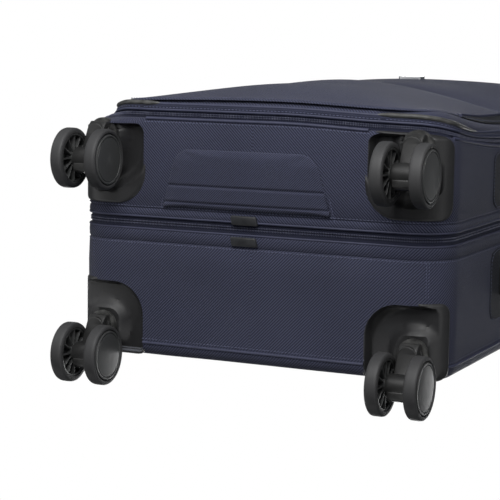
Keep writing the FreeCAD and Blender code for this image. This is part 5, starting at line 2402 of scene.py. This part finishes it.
@dataclass
class Caster:
    """One twin-wheel caster: fork, two wheels with ribs, and their tyres."""

    finishes: Finishes
    ribs: bpy.types.NodeTree
    end: End
    side: Side
    trail: float = 22.0 * MM
    hub_offset: float = 17.05 * MM
    half_fork: float = 8.5 * MM
    tyre_profile: tuple = (
        (4.6, 22.9), (5.4, 23.3), (5.7, 24.2), (5.45, 25.6), (4.7, 26.5), (3.6, 26.9),
        (2.2, 27.0), (-2.2, 27.0), (-3.6, 26.9), (-4.7, 26.5), (-5.45, 25.6), (-5.75, 24.4),
        (-5.75, 22.6), (-5.3, 21.9), (3.2, 21.9), (3.4, 22.9),
    )
    cap_profile: tuple = (
        (6.5, 0.02), (6.45, 5.0), (6.3, 11.0), (6.0, 16.5), (5.75, 19.3), (5.2, 19.6),
        (5.2, 20.1), (5.9, 20.4), (6.0, 21.2), (5.6, 22.0), (4.7, 22.3), (4.0, 22.4),
        (3.2, 22.0), (2.0, 21.9), (-5.0, 21.9), (-5.2, 21.4), (-4.9, 20.4), (0.6, 20.0),
        (0.8, 7.2), (-5.3, 6.6), (-5.7, 6.2), (-5.7, 3.1), (2.0, 3.1), (2.0, 0.02),
    )
    rib_count: int = 12
    rib_radius: float = 13.4 * MM
    rib_size: tuple = (5.4 * MM, 0.9 * MM, 13.6 * MM)
    rib_shift: float = -1.9

    def __post_init__(self) -> None:
        """Find the swivel axis."""
        low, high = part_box(f"caster_axle_{self.end.value}_{self.side.value}")
        self.axle = (low + high) / 2
        self.swivel_y = self.axle.y - self.trail

    @property
    def name(self) -> str:
        """Which corner this is."""
        return f"{self.end.value}_{self.side.value}"

    def fork_outline(self) -> list[Vector]:
        """The fork's side view: a wedge from the crown down to the boss and a flat foot.

        Returns:
            Its points.
        """
        return [Vector((self.axle.x - self.half_fork, self.swivel_y + y * MM, z * MM)) for y, z in (
            (-10.0, 54.2), (13.0, 54.2), (18.0, 49.5), (28.0, 42.5), (34.5, 38.0), (35.5, 30.0),
            (34.0, 19.5), (31.5, 16.8), (25.5, 16.8), (23.0, 27.0), (12.0, 33.0), (-7.0, 43.5),
            (-10.5, 47.5))]

    def upright(self, name: str, radius: float, z0: float, z1: float,
                edge: float) -> Piece:
        """A round post on the swivel axis; sizes in millimetres.

        Args:
            name: the piece's name.
            radius: its radius.
            z0: height of its foot.
            z1: height of its top.
            edge: how far its edges are rounded.

        Returns:
            The post.
        """
        outline = [Vector((self.axle.x + radius * MM * math.cos(a),
                           self.swivel_y + radius * MM * math.sin(a), z0 * MM))
                   for a in [2 * math.pi * k / 48 for k in range(48)]]
        piece = prism(name, outline, Vector((0, 0, (z1 - z0) * MM)), self.finishes.fork)
        return bevelled(piece, edge * MM)

    def fork(self) -> None:
        """The fork, as one solid."""
        leg = prism("fork_" + self.name, self.fork_outline(), Vector((2 * self.half_fork, 0, 0)),
                    self.finishes.fork)
        bevelled(leg, 1.1 * MM)
        combined(leg, self.upright("crown", 10.2, 49.4, 54.2, 1.0), "UNION")
        combined(leg, self.upright("neck", 8.8, 41.0, 51.0, 0.8), "UNION")
        combined(leg, self.upright("stem", 5.0, 50.0, 61.0, 0.3), "UNION")
        boss = turned("boss", ((-10.8, 3.05), (-10.8, 8.4), (-10.4, 9.4), (-9.4, 10.0), (-8.8, 10.1),
                               (8.8, 10.1), (9.4, 10.0), (10.4, 9.4), (10.8, 8.4), (10.8, 3.05)),
                      self.axle, 1, self.finishes.fork, 56)
        combined(leg, boss, "UNION")
        dressed(leg, "caster_" + self.name, Slot.PLASTIC, ["caster_fork_" + self.name])

    def wheel(self, which: str) -> None:
        """One wheel: capped core, ribs inside it, and tyre.

        Args:
            which: "outer" or "inner".
        """
        outward = 1 if (which == "outer") == (self.side is Side.RIGHT) else -1
        centre = self.axle + Vector((outward * self.hub_offset, 0, 0))
        label = f"{self.name}_{which}"
        body = "wheel_" + label
        core = turned("wheel_cap_" + label, self.cap_profile, centre, outward, self.finishes.cap)
        dressed(core, body, Slot.WHEEL, ["wheel_core_" + label])
        tyre = turned("tyre_" + label, self.tyre_profile, centre, outward, self.finishes.tyre)
        dressed(tyre, body, Slot.TYRE, ["wheel_tyre_" + label])
        seed = bpy.data.meshes.new("wheel_ribs_" + label)
        seed.from_pydata([tuple(centre)], [], [])
        ribs = bpy.data.objects.new("wheel_ribs_" + label, seed)
        bpy.context.scene.collection.objects.link(ribs)
        middle = centre + Vector((outward * self.rib_shift * MM, 0, 0))
        grown(ribs, self.ribs, Count=self.rib_count, Radius=self.rib_radius, Size=self.rib_size,
              Centre=tuple(middle), Finish=self.finishes.cap)
        dressed(ribs, body, Slot.WHEEL)

    def build(self) -> None:
        """Build the caster."""
        self.fork()
        self.wheel("outer")
        self.wheel("inner")


# ---------------------------------------------------------------- handles and fittings


@dataclass
class CarryHandle:
    """A carry handle: rubber grip, two straps and two end caps."""

    finishes: Finishes
    rows: RowMaker
    name: str
    body: Body
    origin: Vector
    along: Vector
    outward: Vector
    half: float = 46.0
    foot: float = 62.0
    tail: float = 88.0
    anchor: tuple = (66.0, 92.0)

    def place(self, a: float, b: float, c: float) -> Vector:
        """A point from millimetres along the handle, across it and out from the case."""
        return self.origin + (self.along * a + Vector((0, b, 0)) + self.outward * c) * MM

    def grip(self) -> None:
        """The rubber-covered bar, thickest in the middle."""
        skin = Skin()
        rings = []
        for i in range(41):
            share = i / 40
            a = -self.half + 2 * self.half * share
            bulge = 1 - (2 * share - 1) ** 2
            wide = 10.8 + 2.7 * math.sqrt(bulge)
            ring = []
            for k in range(20):
                angle = 2 * math.pi * k / 20
                x, y = math.cos(angle), math.sin(angle)
                b = wide * math.copysign(abs(x) ** 0.45, x)
                c = 8.75 + 2.75 * math.copysign(abs(y) ** 0.6, y)
                ring.append(skin.point(self.place(a, b, c)))
            rings.append(ring)
        for i in range(40):
            for j in range(20):
                k = (j + 1) % 20
                skin.face((rings[i][j], rings[i + 1][j], rings[i + 1][k], rings[i][k]),
                          [(i * 2 * MM, j * 2 * MM)] * 4)
        skin.face(rings[0], [(0.0, 0.0)] * 20)
        skin.face(rings[-1], [(0.0, 0.0)] * 20)
        piece = skin.build(self.name + "_grip", [self.finishes.grip], smooth=50)
        dressed(piece, self.body, Slot.RUBBER, [self.name])

    def grip_stitches(self) -> None:
        """A row of stitches along each edge of the grip."""
        paths = [[(self.place(a, b, 11.15), self.outward) for a in range(-40, 41, 8)]
                 for b in (-9.0, 9.0)]
        row = self.rows.make(self.name + "_stitches", Rows.STITCH, paths, self.finishes.thread, False)
        dressed(row, self.body, Slot.RUBBER)

    def strap(self, sign: int, label: str) -> None:
        """One strap, bending down from the grip into its end cap.

        Args:
            sign: -1 or 1, for the end it is at.
            label: the end's name.
        """
        upper, lower = [], []
        for k in range(25):
            a = self.half - 1.0 + (self.tail - self.half + 1.0) * k / 24
            fall = min(1.0, max(0.0, (a - self.half) / (self.foot - self.half)))
            c = 7.55 - (7.55 - 2.2) * fall * fall * (3 - 2 * fall)
            lower.append(self.place(sign * a, -10.5, c))
            upper.append(self.place(sign * a, -10.5, c + 2.4))
        piece = prism(f"{self.name}_strap_{label}", lower + upper[::-1],
                      Vector((0, 21 * MM, 0)), self.finishes.webbing)
        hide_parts("carry_handle_straps")
        tuple(self.place(sign * self.foot, 0, 0))
        tuple(self.place(sign * (self.half + 1), 0, 0))
        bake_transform(piece)

    def end_cap(self, sign: int, label: str) -> None:
        """One end cap: a hood with a dark mouth, screwed to the case.

        Args:
            sign: -1 or 1, for the end it is at.
            label: the end's name.
        """
        near, far = sorted((sign * self.anchor[0], sign * self.anchor[1]))
        corners = (self.place(near, -14.5, 0), self.place(far, 14.5, 7.2))
        low = Vector([min(p[i] for p in corners) for i in range(3)])
        high = Vector([max(p[i] for p in corners) for i in range(3)])
        axis = 2 if abs(self.outward.z) > 0.5 else 0
        hood = block(f"{self.name}_end_{label}", low, high, axis, 5 * MM, 1.5 * MM,
                     self.finishes.trim)
        a, b = sorted((sign * (self.anchor[0] - 3), sign * (self.anchor[1] - 2)))
        corners = (self.place(a, -12.5, 1.6), self.place(b, 12.5, 5.2))
        low = Vector([min(p[i] for p in corners) for i in range(3)])
        high = Vector([max(p[i] for p in corners) for i in range(3)])
        mouth = block("mouth", low, high, axis, 1 * MM, 0.2 * MM, self.finishes.trim)
        combined(hood, mouth, "DIFFERENCE")
        dressed(hood, Body.CASE, Slot.PLASTIC, ["carry_handle_anchors"])

    def build(self) -> None:
        """Build the handle."""
        self.grip()
        self.grip_stitches()
        for sign, label in ((1, "a"), (-1, "b")):
            self.strap(sign, label)
            self.end_cap(sign, label)


class Fittings:
    """The nodes whose own shape is shown, each given its finish."""

    def __init__(self, finishes: Finishes) -> None:
        """Choose a finish for each node.

        Args:
            finishes: all the finishes.
        """
        self.finish_of = {
            "side_feet": finishes.trim,
            "divider_panel": finishes.lining,
            "frame_rod": finishes.steel,
            "handle_outer_tubes": finishes.aluminium,
            "handle_stage_1_tubes": finishes.aluminium,
            "handle_stage_2_tubes": finishes.aluminium,
            "handle_base_bracket": finishes.trim,
            "handle_cup": finishes.trim,
            "handle_grip": finishes.grip,
            "release_button": finishes.button,
            "main_zipper_slider": finishes.gunmetal,
            "main_zipper_pull": finishes.gunmetal,
            "front_swivel_collars": finishes.fork,
            "rear_swivel_collars": finishes.fork,
        }
        for end in End:
            for side in Side:
                self.finish_of[f"caster_axle_{end.value}_{side.value}"] = finishes.steel

    def dress(self) -> None:
        """Put the finishes on the nodes."""
        for name, material in self.finish_of.items():
            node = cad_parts[name]
            node.data.materials.clear()
            node.data.materials.append(material)

    def cup_hole(self, lining: bpy.types.Material) -> Piece:
        """The solid that the handle cup takes out of the fabric.

        Args:
            lining: material of the cut faces.

        Returns:
            The solid.
        """
        low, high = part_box("handle_cup")
        inset = 5.3 * MM
        return block("hole_cup", Vector((low.x + inset, low.y + inset, low.z - 1 * MM)),
                     Vector((high.x - inset, high.y + 0.2 * MM - inset * 0.2, high.z + 9 * MM)),
                     2, 1.5 * MM, 0.1 * MM, lining)


@dataclass
class Interior:
    """The packing straps inside the rear half."""

    finishes: Finishes
    reach: float = 58.0
    width: float = 25.0

    def build(self) -> None:
        """Two straps with a buckle half on each, against the divider."""
        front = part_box("divider_panel")[0].y
        for label, sign in (("left", -1), ("right", 1)):
            x = sign * self.reach * MM
            half = self.width * MM / 2
            strap = block("packing_strap_" + label,
                          Vector((x - half, front - 1.6 * MM, 92 * MM)),
                          Vector((x + half, front - 0.1 * MM, 500 * MM)), 1, 2 * MM, 0.4 * MM,
                          self.finishes.webbing)
            dressed(strap, Body.CASE, Slot.LINING)
            buckle = block("packing_buckle_" + label,
                           Vector((x - 17 * MM, front - 8 * MM, 280 * MM)),
                           Vector((x + 17 * MM, front - 1.2 * MM, 318 * MM)), 1, 6 * MM, 1.6 * MM,
                           self.finishes.trim)
            dressed(buckle, Body.CASE, Slot.PLASTIC)


# ---------------------------------------------------------------- stage


@dataclass
class Stage:
    """Camera, lights, white surround and a pale floor."""

    camera_place: tuple = (0.64037, -0.18404, -1.31556)
    camera_turn: tuple = (173.0689, -25.2175, -0.8952)
    lens: float = 125.7
    floor_half: float = 4.0

    def camera(self) -> None:
        """A long lens, looking up at the underside from the right."""
        data = bpy.data.cameras.new("Camera")
        data.lens = self.lens
        data.sensor_width = 36.0
        data.clip_end = 50.0
        camera = bpy.data.objects.new("Camera", data)
        camera.location = self.camera_place
        camera.rotation_euler = [math.radians(a) for a in self.camera_turn]
        bpy.context.scene.collection.objects.link(camera)
        bpy.context.scene.camera = camera

    def surround(self) -> None:
        """White to the eye, softer as a light."""
        world = bpy.data.worlds.new("Surround")
        world.use_nodes = True
        g = Graph(world.node_tree)
        g.tree.nodes.clear()
        out = g.add("ShaderNodeOutputWorld")
        white, soft = g.add("ShaderNodeBackground"), g.add("ShaderNodeBackground")
        white.inputs["Color"].default_value = (1, 1, 1, 1)
        soft.inputs["Color"].default_value = (0.93, 0.96, 1, 1)
        soft.inputs["Strength"].default_value = 0.12
        mix = g.add("ShaderNodeMixShader")
        g.feed(mix.inputs[0], g.add("ShaderNodeLightPath").outputs["Is Camera Ray"])
        g.feed(mix.inputs[1], soft.outputs[0])
        g.feed(mix.inputs[2], white.outputs[0])
        g.feed(out.inputs[0], mix.outputs[0])
        bpy.context.scene.world = world

    def lamp(self, name: str, place: Sequence[float], aim: Sequence[float], size: float,
             watts: float) -> None:
        """A square soft light.

        Args:
            name: the light's name.
            place: where it is.
            aim: the point it faces.
            size: length of its side.
            watts: its power.
        """
        data = bpy.data.lights.new(name, "AREA")
        data.shape = "SQUARE"
        data.size = size
        data.energy = watts
        lamp = bpy.data.objects.new(name, data)
        lamp.location = place
        turn = Vector(aim) - Vector(place)
        lamp.rotation_euler = turn.to_track_quat("-Z", "Y").to_euler()
        bpy.context.scene.collection.objects.link(lamp)

    def floor(self) -> None:
        """A pale floor, seen only from above."""
        h = self.floor_half
        mesh = bpy.data.meshes.new("floor")
        mesh.from_pydata([(-h, -h, 0), (h, -h, 0), (h, h, 0), (-h, h, 0)], [], [(0, 1, 2, 3)])
        floor = bpy.data.objects.new("floor", mesh)
        bpy.context.scene.collection.objects.link(floor)
        material, g, _ = start_material("pale_floor", Mapped.IN_SPACE)
        matt = g.add("ShaderNodeBsdfDiffuse")
        matt.inputs["Color"].default_value = (0.82, 0.82, 0.82, 1)
        clear = g.add("ShaderNodeBsdfTransparent")
        mix = g.add("ShaderNodeMixShader")
        g.feed(mix.inputs[0], g.add("ShaderNodeNewGeometry").outputs["Backfacing"])
        g.feed(mix.inputs[1], matt.outputs[0])
        g.feed(mix.inputs[2], clear.outputs[0])
        g.feed(g.out.inputs[0], mix.outputs[0])
        mesh.materials.append(material)
        floor.visible_shadow = False
        floor.visible_diffuse = False

    def build(self) -> None:
        """Build the stage."""
        bpy.context.scene.view_settings.view_transform = "Standard"
        self.camera()
        self.surround()
        middle = (0, 0, 0.25)
        self.lamp("front_key", (0.1, -0.95, -0.75), middle, 0.8, 17)
        self.lamp("under_fill", (-0.5, -0.6, -2.2), middle, 1.4, 3)
        self.lamp("side_fill", (1.9, -1.0, -0.6), middle, 0.9, 9)
        self.lamp("top_fill", (-0.6, 0.6, 2.4), middle, 2.0, 70)
        self.floor()


def main() -> None:
    """Build the suitcase's looks in order, piece group by piece group."""
    logging.basicConfig(level=logging.INFO, format="%(name)s: %(message)s")
    case = Case.measured()
    finishes = Finishes()
    rows = RowMaker()
    ribs = rib_tree()
    Stage().build()
    log.info("stage ready")
    fittings = Fittings(finishes)
    fittings.dress()
    holes: dict[End, list[Piece]] = {End.FRONT: [], End.REAR: []}
    for end in End:
        for side in Side:
            housing = WheelHousing(case, finishes, end, side)
            housing.build()
            holes[end].append(housing.hole())
            Caster(finishes, ribs, end, side).build()
            log.info("corner %s ready", housing.name)
    CaseShell(case, finishes, rows).build(holes, fittings.cup_hole(finishes.lining))
    log.info("case ready")
    Zippers(case, finishes, rows).build()
    log.info("zippers ready")
    Lid(case, finishes, rows).build()
    log.info("lid ready")
    BasePad(finishes, rows).build()
    log.info("base pad ready")
    mid = (case.rim.low + case.rim.high) / 2
    CarryHandle(finishes, rows, "top_handle", Body.TOP_HANDLE,
                Vector((0, 42 * MM, case.rim.high)), Vector((1, 0, 0)), Vector((0, 0, 1))).build()
    CarryHandle(finishes, rows, "side_handle", Body.SIDE_HANDLE,
                Vector((case.rim.half_width, 42 * MM, mid)), Vector((0, 0, 1)), Vector((1, 0, 0))).build()
    Interior(finishes).build()
    log.info("handles and interior ready")


if __name__ == "__main__":
    main()
